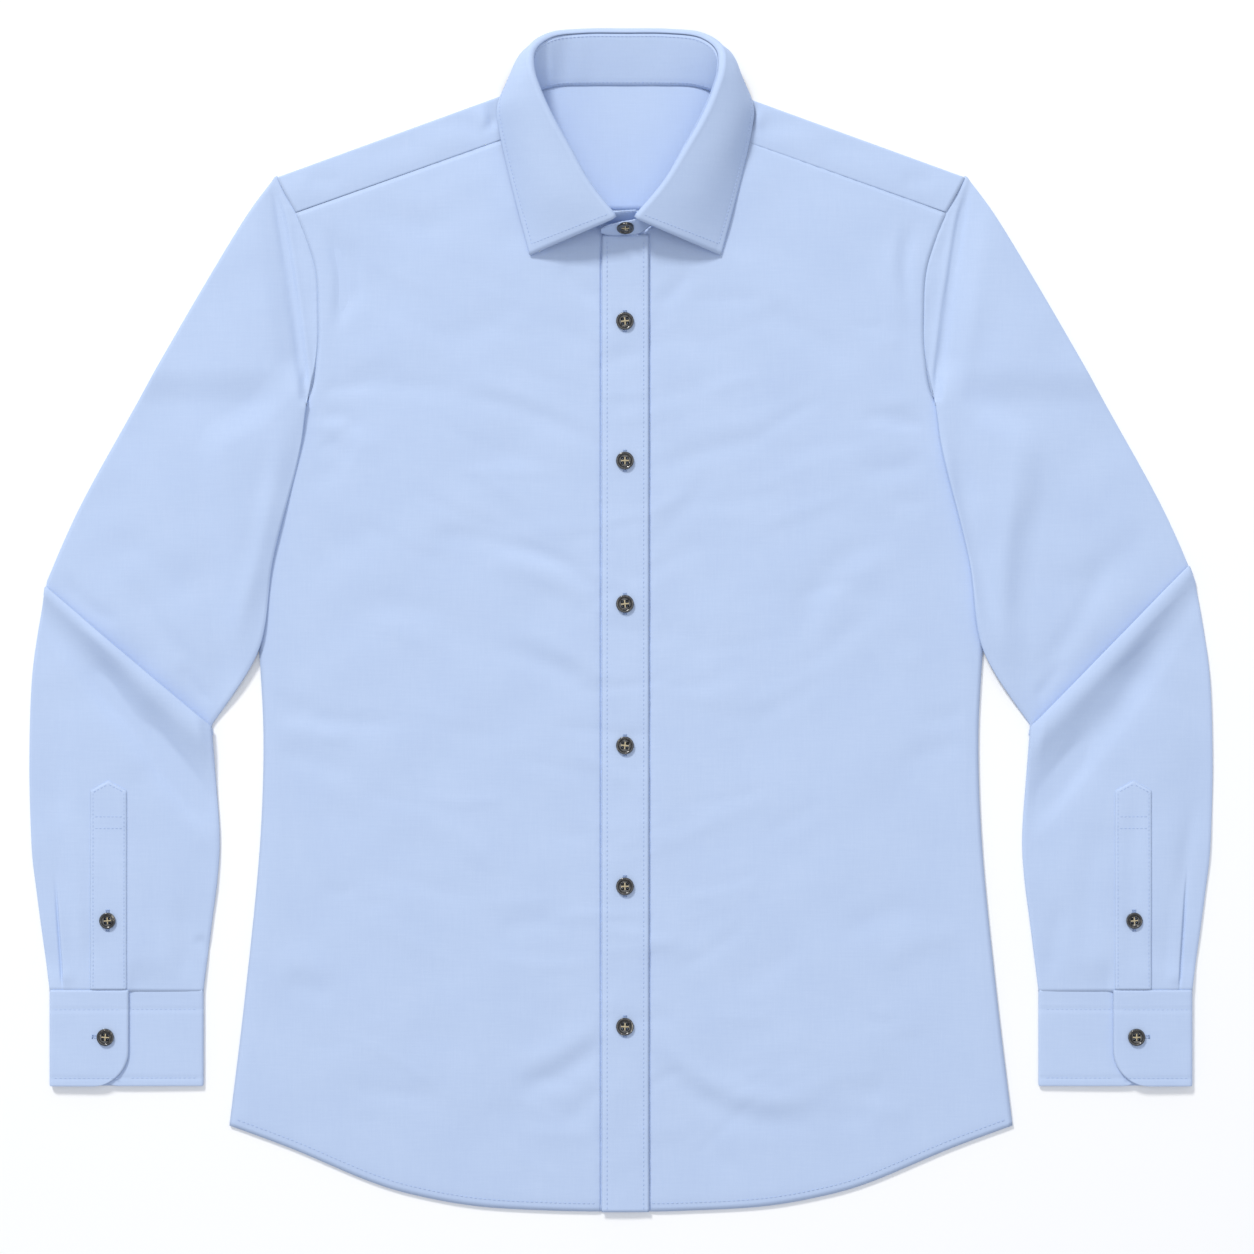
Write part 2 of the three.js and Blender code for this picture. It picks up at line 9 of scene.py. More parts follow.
import bmesh
import bpy
import numpy as np
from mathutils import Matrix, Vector


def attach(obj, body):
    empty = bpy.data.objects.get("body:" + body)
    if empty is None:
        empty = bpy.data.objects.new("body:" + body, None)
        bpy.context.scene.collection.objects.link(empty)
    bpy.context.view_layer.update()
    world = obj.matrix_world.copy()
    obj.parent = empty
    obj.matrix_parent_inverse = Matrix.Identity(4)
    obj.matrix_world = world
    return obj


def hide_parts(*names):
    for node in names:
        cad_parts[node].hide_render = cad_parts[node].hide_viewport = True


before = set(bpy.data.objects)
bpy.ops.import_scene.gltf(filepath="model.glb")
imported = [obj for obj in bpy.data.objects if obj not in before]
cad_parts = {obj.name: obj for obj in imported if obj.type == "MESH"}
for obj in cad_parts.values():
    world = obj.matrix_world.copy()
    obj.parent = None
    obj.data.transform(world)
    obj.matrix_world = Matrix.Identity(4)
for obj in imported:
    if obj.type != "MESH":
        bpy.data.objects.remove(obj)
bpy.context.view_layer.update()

MM = 0.001
scene = bpy.context.scene

# %% [markdown]
# The tables below are in millimetres, as a pattern cutter would write them, for the half of the
# shirt at -X. The half at +X is the mirror of it. A smooth curve through a few measured points
# stands for each cut edge, and a Coons patch fills a panel between its four edges.

# %% Sizes of the shirt
# Thickness of the cloth, the gap at a seam, then the stiffer collar and cuffs and the drawn shell
CLOTH = 1.2
SEAM = 0.3
LAYER = CLOTH + SEAM
STIFF = 1.5
SHELL = 0.55
PLACKET_X = (-13, 19)
PLACKET_TOP = 262
NECK_X = 3
BUTTON_X = 2.7
BACK_YOKE_Y = 279
SIDE_SEAM = [(-266, -343), (-256, -261), (-246, -163), (-242.8, -90), (-245, -32), (-251, 40),
             (-258, 112)]
ARMHOLE = [(-258, 112), (-232, 126), (-212, 151), (-206.5, 180), (-205.7, 206), (-208, 240), (-221, 277)]
HEM = [(-266, -343), (-223, -359), (-172, -380.5), (-139, -390.5), (-96, -398), (-41, -401), (0, -401.5)]
FRONT_YOKE_START = (-221, 277)
SHOULDER_FOLD = [(-234, 301), (-69, 361)]
SLEEVE_HEAD = [(-235, 301.4), (-228.4, 289)] + [(x - 0.3, y) for x, y in ARMHOLE[:1:-1]]
UPPER_OUTER = [(-235, 301.4), (-256, 272), (-295, 207), (-332, 142), (-368, 76.5), (-390, 27)]
UPPER_INNER = [(-212.7, 151), (-214.5, 137), (-219, 109), (-236, 41), (-245.5, -19.5), (-278, -71)]
LOWER_OUTER = [(-390, 27), (-399.5, -32), (-402, -95), (-400.5, -152), (-397, -185), (-388, -250.4)]
LOWER_INNER = [(-278, -71), (-275.5, -105), (-272.7, -146), (-274, -174), (-278, -206), (-283.6, -250.4)]

# %% Curves, patches and walls
def ease(low, high, x):
    """0 below low, 1 above high, smooth between."""
    t = np.clip((np.asarray(x, float) - low) / (high - low), 0, 1)
    return t * t * (3 - 2 * t)


def bell(distance, width):
    """1 at no distance, falling smoothly to nothing over two widths."""
    return np.exp(-(distance / width) ** 2)


def mix(a, b, share):
    return a * (1 - share) + b * share


def unit(v):
    return v / np.maximum(np.linalg.norm(v, axis=-1, keepdims=True), 1e-9)


def run_along(points):
    """Distance from the first point to each of a row of points."""
    return np.r_[0, np.cumsum(np.linalg.norm(np.diff(points, axis=0), axis=1))]


def read_off(at, run, table):
    """The rows of a table, read off between them at the distances given."""
    return np.stack([np.interp(at, run, column) for column in table.T], axis=-1)


def spline(points, fractions):
    """Points at fractions of the length of a smooth curve through the given points."""
    p = np.array(points, float)
    first, last = p[:1], p[-1:]
    p = np.vstack([first, p, last])
    fine = []
    for k in range(len(p) - 3):
        t = np.linspace(0, 1, 40, endpoint=False)[:, None]
        a, b, c, d = p[k:k + 4]
        fine.append(0.5 * (2 * b + (c - a) * t + (2 * a - 5 * b + 4 * c - d) * t ** 2
                           + (3 * b - a - 3 * c + d) * t ** 3))
    fine = np.vstack(fine + [last])
    run = run_along(fine)
    return read_off(np.asarray(fractions) * run[-1], run, fine)


def even(steps):
    return np.linspace(0, 1, steps + 1)


def coons(bottom, top, left, right, across=None):
    """A grid of plan points between four edges, rows along left and right."""
    u = (even(len(bottom) - 1) if across is None else across)[None, :, None]
    v = np.linspace(0, 1, len(left))[:, None, None]
    ruled = (1 - v) * bottom[None] + v * top[None] + (1 - u) * left[:, None] + u * right[:, None]
    corners = ((1 - u) * (1 - v) * bottom[0] + u * (1 - v) * bottom[-1]
               + (1 - u) * v * top[0] + u * v * top[-1])
    return ruled - corners


def grid_normals(grid, ring=False):
    if ring:
        across = np.roll(grid, -1, axis=1) - np.roll(grid, 1, axis=1)
    else:
        across = np.gradient(grid, axis=1)
    return unit(np.cross(across, np.gradient(grid, axis=0)))


def mesh_object(name, points, faces):
    """A new object from points in millimetres, its place in its mesh, its faces outwards."""
    points = np.asarray(points, float) * MM
    corners = np.array([(f[0], f[1], f[2], f[3] if len(f) == 4 else f[0]) for f in faces])
    a, b, c, d = (points[corners[:, k]] for k in range(4))
    if (a * (np.cross(b, c) + np.cross(c, d))).sum() < 0:
        faces = [tuple(reversed(f)) for f in faces]
    mesh = bpy.data.meshes.new(name)
    mesh.from_pydata(points.tolist(), [], faces)
    mesh.shade_smooth()
    piece = bpy.data.objects.new(name, mesh)
    scene.collection.objects.link(piece)
    return piece


def wall_faces(rows, cols, ring):
    """Faces of a closed wall whose outer grid comes first and whose inner grid follows."""
    number = np.arange(2 * rows * cols).reshape(2, rows, cols)
    if ring:
        number = np.concatenate([number, number[:, :, :1]], axis=2)
    out, inn = number
    quads = [np.stack([out[:-1, :-1], out[:-1, 1:], out[1:, 1:], out[1:, :-1]], -1),
             np.stack([inn[:-1, :-1], inn[1:, :-1], inn[1:, 1:], inn[:-1, 1:]], -1)]
    for row, turn in ((0, 1), (-1, -1)):
        quads.append(np.stack([out[row, 1:], out[row, :-1], inn[row, :-1], inn[row, 1:]][::turn], -1))
    if not ring:
        for col, turn in ((0, 1), (-1, -1)):
            quads.append(np.stack([out[:-1, col], out[1:, col], inn[1:, col], inn[:-1, col]][::turn], -1))
    return [tuple(f) for f in np.concatenate([q.reshape(-1, 4) for q in quads]).tolist()]


def cloth_wall(name, outer, thickness=SHELL, ring=False, inward=None):
    """A thin closed shell whose outside is the given grid of points."""
    normal = grid_normals(outer, ring) if inward is None else -inward
    if inward is None and normal[..., 2].mean() < 0:
        normal = -normal
    inner = outer - normal * thickness
    points = np.concatenate([outer.reshape(-1, 3), inner.reshape(-1, 3)])
    return mesh_object(name, points, wall_faces(*outer.shape[:2], ring))


def thick_wall(name, middle, normal, half):
    """A closed wall that reaches as far as half says on both sides of a middle surface."""
    reach = normal * np.broadcast_to(half, middle.shape[:2])[..., None]
    points = np.concatenate([(middle + reach).reshape(-1, 3), (middle - reach).reshape(-1, 3)])
    return mesh_object(name, points, wall_faces(*middle.shape[:2], False))


def join(pieces):
    """Joins mesh objects into the first of them."""
    bpy.ops.object.select_all(action="DESELECT")
    for piece in pieces:
        piece.select_set(True)
    bpy.context.view_layer.objects.active = pieces[0]
    bpy.ops.object.join()
    return pieces[0]


def mirror(grid):
    return grid * np.array([-1.0] + [1.0] * (grid.shape[-1] - 1))


def on_side(side, grid):
    """A grid drawn for the half at -X: itself for side -1, its mirror for side +1."""
    return grid if side < 0 else mirror(grid)

# %% [markdown]
# Poplin is a plain weave of fine cotton. From a step away its threads are too fine to see, but
# they scatter the light, so the cloth is matt with a faint sheen at grazing angles, and uneven
# threads give it a slight mottle. Colours are sRGB values that one function turns to linear.

# %% Small material helpers
def linear(hex_colour, alpha=1.0):
    values = [int(hex_colour[k:k + 2], 16) / 255 for k in (0, 2, 4)]
    return [v / 12.92 if v <= 0.04045 else ((v + 0.055) / 1.055) ** 2.4 for v in values] + [alpha]


def add_node(tree, kind, settings=None, links=None, **values):
    """Adds one node: settings are its properties, links its inputs from sockets, values constants."""
    node = tree.nodes.new(kind)
    for key, value in (settings or {}).items():
        setattr(node, key, value)
    for key, value in values.items():
        node.inputs[key.replace("_", " ")].default_value = value
    for key, socket in (links or {}).items():
        tree.links.new(socket, node.inputs[key])
    return node


def new_material(name):
    material = bpy.data.materials.new(name)
    material.use_nodes = True
    tree = material.node_tree
    tree.nodes.clear()
    output = tree.nodes.new("ShaderNodeOutputMaterial")
    shader = tree.nodes.new("ShaderNodeBsdfPrincipled")
    tree.links.new(shader.outputs[0], output.inputs[0])
    return material, tree, shader


def ramp(tree, factor, stops):
    node = add_node(tree, "ShaderNodeValToRGB", links={"Fac": factor})
    while len(node.color_ramp.elements) < len(stops):
        node.color_ramp.elements.new(0.5)
    for element, (position, colour) in zip(node.color_ramp.elements, stops):
        element.position = position
        element.color = linear(colour)
    return node.outputs["Color"]

# %% Cotton poplin, woven
THREAD_MM = 1.1
SLUB_MM = 16
MOTTLE_MM = 45
POPLIN = ("B4C6E6", "B9CBE9", "BFD0ED")


def poplin_material(name, tones, bump=0.22):
    """Two crossed sets of stretched noise are the uneven threads, drawn three times their real
    spacing so that they show, and a broad noise is the slight mottle of pressed cotton."""
    material, tree, shader = new_material(name)
    place = tree.nodes.new("ShaderNodeTexCoord").outputs["Object"]
    threads = []
    fine, long = 1 / THREAD_MM / MM, 1 / SLUB_MM / MM
    for scale in ((fine, long, fine), (long, fine, long)):
        mapping = add_node(tree, "ShaderNodeMapping", links={"Vector": place}, Scale=scale)
        noise = add_node(tree, "ShaderNodeTexNoise", links={"Vector": mapping.outputs[0]},
                         Scale=1.0, Detail=2.0, Roughness=0.6)
        threads.append(noise.outputs["Fac"])
    weave = add_node(tree, "ShaderNodeMath", {"operation": "ADD"})
    tree.links.new(threads[0], weave.inputs[0])
    tree.links.new(threads[1], weave.inputs[1])
    half = add_node(tree, "ShaderNodeMath", {"operation": "MULTIPLY"}, {0: weave.outputs[0]})
    half.inputs[1].default_value = 0.5
    mottle = add_node(tree, "ShaderNodeTexNoise", links={"Vector": place},
                      Scale=1 / (MOTTLE_MM * MM), Detail=3.0)
    mixed = add_node(tree, "ShaderNodeMix", {"data_type": "FLOAT"})
    mixed.inputs[0].default_value = 0.35
    tree.links.new(half.outputs[0], mixed.inputs[2])
    tree.links.new(mottle.outputs["Fac"], mixed.inputs[3])
    colour = ramp(tree, mixed.outputs[0], [(0.2, tones[0]), (0.5, tones[1]), (0.8, tones[2])])
    tree.links.new(colour, shader.inputs["Base Color"])
    height = add_node(tree, "ShaderNodeBump", links={"Height": half.outputs[0]},
                      Strength=bump, Distance=0.25 * MM)
    tree.links.new(height.outputs[0], shader.inputs["Normal"])
    shader.inputs["Roughness"].default_value = 0.82
    shader.inputs["Specular IOR Level"].default_value = 0.25
    shader.inputs["Sheen Weight"].default_value = 0.12
    shader.inputs["Sheen Roughness"].default_value = 0.4
    shader.inputs["Sheen Tint"].default_value = linear("DCE8FF")
    return material


poplin = poplin_material("cotton_poplin_woven", POPLIN)
# Sewing thread is drawn a shade deeper than the cloth, as painted shade for the small dimples that the
# stitches press into it, so that a row of it reads
thread = poplin_material("cotton_thread_painted_shade", ("ACBFE2", "B2C5E6", "B8CAE9"), bump=0.1)
# The overcast edge of a buttonhole is drawn deeper still, as painted shade in its slit and between its
# close stitches
overcast = poplin_material("buttonhole_thread_painted_shade", ("8FA6CE", "9BB1D8", "A8BCE0"), bump=0.1)
print("cloth materials", [m.name for m in bpy.data.materials])

# %% Horn-effect resin, cast and polished
def horn_material():
    """Smoky polyester resin with drawn streaks of brown and grey. Polishing leaves a clear gloss."""
    material, tree, shader = new_material("horn_effect_resin_polished")
    place = tree.nodes.new("ShaderNodeTexCoord").outputs["Object"]
    mapping = add_node(tree, "ShaderNodeMapping", links={"Vector": place},
                       Scale=[1 / (streak * MM) for streak in (2.6, 7, 3)])
    swirl = add_node(tree, "ShaderNodeTexNoise", links={"Vector": mapping.outputs[0]},
                     Scale=1.0, Detail=4.0, Distortion=1.4)
    colour = ramp(tree, swirl.outputs["Fac"], [(0.4, "08090A"), (0.5, "161719"), (0.58, "2B2A28"),
                                               (0.66, "57524A"), (0.75, "C4BDAB")])
    tree.links.new(colour, shader.inputs["Base Color"])
    shader.inputs["Roughness"].default_value = 0.2
    shader.inputs["IOR"].default_value = 1.56
    shader.inputs["Coat Weight"].default_value = 0.8
    shader.inputs["Coat Roughness"].default_value = 0.08
    return material


horn = horn_material()
tan_thread = poplin_material("tan_button_thread", ("B5A684", "C6B895", "D6CAAA"), bump=0.1)

# %% [markdown]
# The camera hangs straight above the shirt, as in the photograph. A long lens keeps the raised
# collar from leaning outwards. The light is one large soft source up and to the left, which draws
# the soft shadows below and to the right of the cuffs and hem, and an even white surround.

# %% Camera, light and floor
PHOTO_SPAN_MM = 852.7
PHOTO_CENTRE_MM = (4.1, -4.4)
# A lens of 85 mm before a frame 36 mm wide sees as much as the photograph from its distance
LENS_MM = 85.0
SENSOR_MM = 36.0
# A hair of air keeps the floor from sharing a plane with the cloth that lies on it
FLOOR_DROP_MM = 0.4
camera_data = bpy.data.cameras.new("camera")
camera_data.lens = LENS_MM
camera_data.sensor_width = SENSOR_MM
camera_data.clip_end = 20
camera = bpy.data.objects.new("camera", camera_data)
distance = PHOTO_SPAN_MM * MM * LENS_MM / SENSOR_MM
camera.location = (PHOTO_CENTRE_MM[0] * MM, PHOTO_CENTRE_MM[1] * MM, distance)
scene.collection.objects.link(camera)
scene.camera = camera


def area_light(name, place, size, power, colour="FFFFFF"):
    """A square lamp that points at the middle of the shirt."""
    data = bpy.data.lights.new(name, "AREA")
    data.size = size
    data.energy = power
    data.color = linear(colour)[:3]
    lamp = bpy.data.objects.new(name, data)
    lamp.location = place
    lamp.rotation_euler = (-Vector(place)).to_track_quat("-Z", "Y").to_euler()
    scene.collection.objects.link(lamp)


area_light("key_light", (-2.9, 6.3, 5.4), 1.5, 485, "FFFDF8")
area_light("top_light", (0.2, 0.2, 3.4), 2.6, 22)
world = bpy.data.worlds.new("studio")
scene.world = world
world.use_nodes = True
world.node_tree.nodes["Background"].inputs["Color"].default_value = linear("F2F6FF")
world.node_tree.nodes["Background"].inputs["Strength"].default_value = 0.57
scene.view_settings.view_transform = "Standard"

floor_material, _, floor_shader = new_material("pale_paper_matt")
floor_shader.inputs["Base Color"].default_value = linear("FBFBFB")
floor_shader.inputs["Roughness"].default_value = 0.9
bpy.ops.mesh.primitive_plane_add(size=8, location=(0, 0, 0))
floor = bpy.context.object
floor.name = "floor"
floor.data.transform(floor.matrix_world)
floor.matrix_world.identity()
floor.data.materials.append(floor_material)
for vertex in floor.data.vertices:
    vertex.co.z = -FLOOR_DROP_MM * MM
print("camera at", tuple(camera.location))

# %% [markdown]
# A pressed shirt still has folds: drag lines from the buttons, hollows beside the armholes and a
# few sideways waves at the waist. Each is one row of a table: where it starts and ends, how far
# it bows to the side, its width and its height, less than zero for a trough. One function adds up
# all rows, with a slow ripple from seeded waves, and gives the height of the cloth at any place.

# %% The height of the body's cloth
BODY_CREASES = [
    # start x, y, end x, y, bow, width, height
    (-201, 160, -103, 154, 3, 7, -1.0), (-110, 154, -12, 116, 6, 7, -1.3),
    (-110, 164, -20, 128, 6, 9, 0.8), (-130, 56, -70, 50, 4, 7, -1.1), (-86, 52, -12, 18, 7, 6, -1.9),
    (-92, 41, -14, 6, 7, 9, 1.3), (-180, 14, -96, -22, 12, 12, -0.8), (-90, -18, -14, -60, 10, 8, -1.1),
    (-76, -6, -14, -44, 9, 9, 0.8), (-240, -62, -146, -69, -3, 6, -1.1),
    (-236, -74, -176, -80, 2, 8, 0.7), (-240, -90, -180, -108, 4, 8, -0.9),
    (-241, -48, -206, -60, -3, 6, -0.9), (-204, 141, -176, 130, 2, 6, -1.3),
    (-203, 122, -184, 106, 3, 7, -1.2), (-200, 268, -194, 196, 7, 5, -3.0),
    (-207, 264, -202, 204, 5, 4, 1.9), (-186, 262, -184, 206, 5, 5, -1.6),
    (-172, 279, -112, 268, -4, 10, -1.0), (-126, 190, -68, 218, -5, 10, -0.8),
    (-220, 86, -180, 104, 4, 9, -0.7), (-212, 30, -160, 58, 8, 12, -0.7),
    (-76, -320, -12, -284, -6, 8, -2.1), (-70, -302, -14, -272, -5, 9, 1.3),
    (-84, -211, -40, -206, 3, 7, -0.8), (-42, -342, -13, -312, -4, 7, -1.2),
    (-236, -232, -190, -240, 3, 10, 0.8), (-230, -246, -196, -256, 2, 8, -0.8),
    (-170, -150, -110, -166, 5, 16, -0.6), (-150, -280, -100, -296, 4, 14, -0.6),
    (-210, -130, -160, -146, 4, 12, -0.6), (20, -276, 140, -322, -22, 8, 1.7),
    (20, -287, 132, -340, -20, 9, -1.6), (22, -300, 86, -378, -10, 8, -1.1),
    (26, -312, 70, -366, -8, 8, 0.9), (94, 211, 158, 172, 4, 9, -1.0), (104, 124, 22, 102, -4, 8, -1.2),
    (112, 134, 26, 116, -4, 9, 0.7), (184, 56, 120, -14, -16, 10, -1.2),
    (194, 52, 134, -26, -14, 10, 0.7), (162, 137, 205, 133, 3, 6, -1.2),
    (160, 103, 207, 110, -4, 7, -1.1), (24, 42, 90, 54, 4, 10, -0.7), (22, -6, 62, -22, 4, 9, -0.8),
    (148, -214, 204, -194, 3, 9, -1.1), (174, -232, 236, -212, 4, 9, 0.9),
    (196, 270, 205, 204, -6, 5, -2.4), (186, 262, 196, 198, -6, 6, 1.5), (48, 240, 21, 213, 3, 6, -1.3),
    (-42, 244, -14, 216, -3, 6, -1.5), (30, 190, 70, 184, 3, 8, -0.7),
    (236, -84, 190, -98, -3, 8, -0.8), (238, -60, 200, -68, 3, 7, -0.8),
    (120, -60, 50, -90, 8, 16, -0.6), (60, -150, 140, -176, 6, 16, -0.5),
    (-60, 286, -84, 250, 3, 9, -0.7), (70, 286, 88, 244, -3, 9, -0.7),
    (-180, 230, -150, 205, 4, 12, -0.6),
]
YOKE_CREASES = [
    (-94, 361, -87, 332, 2, 4, -2.6), (-100, 354, -92, 334, 2, 4, 1.5),
    (-128, 342, -92, 330, 3, 8, -0.8), (-180, 318, -130, 322, 4, 10, -0.6),
    (-214, 300, -190, 296, 2, 7, -0.7),
]
# The listed folds share the cloth with small ones, each drawn from a seed: drag lines that
# fall towards the placket, and short level tucks at the side seams
SMALL_FOLDS = 150


def small_folds():
    draw = np.random.default_rng(5)
    rows = []
    for k in range(SMALL_FOLDS):
        side = -1 if k % 2 else 1
        at_seam = k % 5 == 0
        y = draw.uniform(-345, 250)
        x = side * (draw.uniform(175, 215) if at_seam else draw.uniform(20, 185))
        length = draw.uniform(18, 40) if at_seam else draw.uniform(30, 85)
        fall = draw.normal(0, 0.1) if at_seam else draw.normal(0.3, 0.22)
        end = (x - side * length * math.cos(fall), y - length * math.sin(fall))
        height = draw.choice([-1, 1], p=[0.62, 0.38]) * draw.uniform(0.18, 0.5)
        rows.append((x, y, *end, side * draw.uniform(-2, 5), draw.uniform(3, 8), height))
    return rows


# One share lowers all of the large creases alike
CREASE_SHARE = 0.72
RIPPLES = 26


def crease_heights(x, y, table):
    """Sum of all rows of a table of creases: each a soft ridge or trough along a bowed line."""
    total = np.zeros_like(x, float)
    for ax, ay, bx, by, bow, width, height in table:
        dx, dy = bx - ax, by - ay
        length = math.hypot(dx, dy)
        t = ((x - ax) * dx + (y - ay) * dy) / length ** 2
        side = ((x - ax) * -dy + (y - ay) * dx) / length
        inside = np.clip(t, 0, 1)
        bend = bow * 4 * inside * (1 - inside)
        beyond = (t - inside) * length
        fade = ease(-0.08, 0.3, t) * (1 - ease(0.7, 1.08, t))
        total += height * fade * np.exp(-((side - bend) / width) ** 2 - (beyond / width) ** 2)
    return total


def ripples(x, y, amount, seed=11, shortest=34, longest=110):
    """Slow waves of many lengths and directions, drawn from a seed."""
    draw = np.random.default_rng(seed)
    total = np.zeros_like(x, float)
    for _ in range(RIPPLES):
        angle = draw.uniform(0, math.pi)
        turn = 2 * math.pi / draw.uniform(shortest, longest)
        phase = draw.uniform(0, 2 * math.pi)
        total += np.sin(turn * (x * math.cos(angle) + y * math.sin(angle)) + phase)
    return amount * total / math.sqrt(RIPPLES)


PUCKER_MM = 8.5


def puckers(run, depth):
    """Uneven little gathers along a sewn line, by the distance along it."""
    turn = run * 2 * math.pi / PUCKER_MM
    return -depth * (0.55 + 0.3 * np.sin(turn + np.sin(run / 9.0)) + 0.15 * np.sin(turn / 0.43))


FRONT_TOP = LAYER + CLOTH
SEAM_LEVEL = FRONT_TOP + 0.45
GROOVE_DEPTH = 0.4
GROOVE_WIDTH = 0.9
# The fronts sink towards their edges and swell in the middle, over the cloth below
EDGE_SINK = 0.75
MIDDLE_SWELL = 1.2
PLACKET_PUCKER = 0.5
SEAM_PUCKER = 0.25


def seam_height(from_seam):
    """Both neighbours of a seam meet at one level, in a fine groove."""
    return SEAM_LEVEL - GROOVE_DEPTH * (1 - ease(0, GROOVE_WIDTH, from_seam))


def body_height(x, y, to_edge):
    """Top of the fronts, from the distance to the nearest open edge or side seam."""
    left_edge, right_edge = x - PLACKET_X[0] + 0.45, x - PLACKET_X[1] - 0.45
    placket_dip = bell(left_edge + 1, 2.6) + bell(right_edge - 1, 2.6)
    groove = 1.5 * bell(left_edge, 0.6) + 0.8 * bell(right_edge, 0.6)
    return (FRONT_TOP - EDGE_SINK * (1 - ease(0, 9, to_edge)) + MIDDLE_SWELL * ease(10, 110, to_edge)
            + crease_heights(x, y, BODY_CREASES) * CREASE_SHARE * ease(0, 20, to_edge)
            + crease_heights(x, y, SMALL_CREASES) * ease(0, 12, to_edge)
            + ripples(x, y, 0.24) * ease(0, 60, to_edge)
            + puckers(y, PLACKET_PUCKER) * placket_dip - groove)


SMALL_CREASES = small_folds()
print("creases on the body", len(BODY_CREASES), "and", len(SMALL_CREASES), "small")

# %% [markdown]
# The collar is cut as a band, the stand, and a leaf that folds over it. A table gives stations
# round the neck from centre back to the front: the seam at the stand's base, the roll line and
# the leaf's edge. A smooth curve through each column gives as many stations as the shell needs.

# %% Collar stations
COLLAR = [
    # base x, y, z, roll x, y, z, edge x, y, z, crown
    (0, 363.5, 2.5, 0, 400.8, 9, 0, 367, 0.95, 0),
    (-25, 363.5, 2.5, -30, 400.4, 9.5, -30, 367.5, 0.95, 0),
    (-48, 362.5, 2.8, -50, 396.8, 14, -55, 372, 1.5, 1),
    (-62, 357, 3.7, -60.5, 387, 21, -70, 377, 2.8, 3),
    (-69, 346, 3.8, -61, 373, 26, -80.5, 364, 4.8, 3),
    (-71, 331, 3.8, -56, 357, 27, -87, 348, 5.4, 3.5),
    (-64, 314, 3.8, -47.5, 338.5, 27, -85.5, 332, 5.4, 4),
    (-53, 293, 3.8, -36, 318, 26, -81.5, 313, 5.2, 4.5),
    (-38, 278, 3.8, -23, 295, 25, -75.5, 288, 5.2, 4.5),
    (-18, 268.5, 3.9, -9, 276.5, 24, -64.8, 247.6, 5, 2.5),
]
STAND_UNDER_END = [(9, 269, 3.9, 7, 278.5, 20), (-3, 268.5, 3.9, -1, 277.5, 22)]
STAND_OVER_END = [(9, 262.4, 6.6, 8, 272.6, 23.6), (-3, 261.4, 6.8, -3.5, 269.6, 23),
                  (-12, 261.6, 6.8, -12.5, 267.6, 20.5), (-16.4, 263, 9.4, -16.6, 266, 16.5)]
# The leaf's front ends nearly meet, so its last station lies nearer the middle than the stand's
LEAF_FRONT = (-14, 264.5, 4, -5.2, 272.2, 23.6, -64.8, 247.6, 5, 2.5)
# The right half of the roll stands a little further out than the left one
ROLL_SHIFT = (0, 0, 0.5, 1, 1.5, 2.2, 2.8, 2.6, 1.4, 0)
ROLL_R = 2.4
LEAF_RISE = 3
STAND_HEIGHT = 34
# Soft dents round the stand: place from end to end, width, depth away from the neck
STAND_DENTS = [(0.372, 0.007, 0.9), (0.392, 0.006, -0.7), (0.412, 0.008, 0.6), (0.585, 0.008, 0.6),
               (0.607, 0.006, -0.7), (0.626, 0.007, 0.9)]


def full_round(rows):
    """Mirrors the half table, front left round the back to front right."""
    rows = np.array(rows, float)
    other = rows.copy()
    other[:, 0:9:3] *= -1
    return np.vstack([rows[:0:-1], other])


def stations(column, steps):
    """Centripetal curve through the rows of one column, evenly many steps between rows."""
    p = np.array(column, float)
    p = np.vstack([2 * p[0] - p[1], p, 2 * p[-1] - p[-2]])
    out = []
    for k in range(len(p) - 3):
        p0, p1, p2, p3 = p[k:k + 4]
        gaps = [max(1e-4, math.sqrt(np.linalg.norm(b - a))) for a, b in ((p0, p1), (p1, p2), (p2, p3))]
        t1 = ((p1 - p0) / gaps[0] - (p2 - p0) / (gaps[0] + gaps[1]) + (p2 - p1) / gaps[1]) * gaps[1]
        t2 = ((p2 - p1) / gaps[1] - (p3 - p1) / (gaps[1] + gaps[2]) + (p3 - p2) / gaps[2]) * gaps[1]
        for s in np.arange(steps) / steps:
            out.append(p1 + t1 * s + (-3 * p1 + 3 * p2 - 2 * t1 - t2) * s ** 2
                       + (2 * p1 - 2 * p2 + t1 + t2) * s ** 3)
    out.append(p[-2])
    return np.array(out)

# %% [markdown]
# The back panel lies under everything. Only its hem edge and its inside at the neck can be seen,
# so it is a plain flat shell, the size its maker cut it, with the yoke seam across its top.

# %% Back panel
SIDE_ROWS = 150
ARM_ROWS = 60
side_rows = spline(SIDE_SEAM, even(SIDE_ROWS))
arm_rows = spline(ARMHOLE, even(ARM_ROWS))
body_side = np.vstack([side_rows, arm_rows[1:]])


def finish_cloth(piece, nodes, flat, area=None):
    """Keeps the cloth above the surface, hides the parts it replaces and says how it was cut."""
    piece.data.materials.append(poplin)
    for vertex in piece.data.vertices:
        vertex.co.z = max(vertex.co.z, 0.0)
    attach(piece, "root")
    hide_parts(*nodes)
    surface = sum(face.area for face in piece.data.polygons) / 2
    cut = area or flat[0] * flat[1]
    print(piece.name, len(piece.data.polygons), "faces,", round(surface, 4), "m2 of cloth, cut", cut)


def lay(plan, height):
    """Points from their plan and their heights."""
    return np.concatenate([plan, height[..., None]], axis=-1)


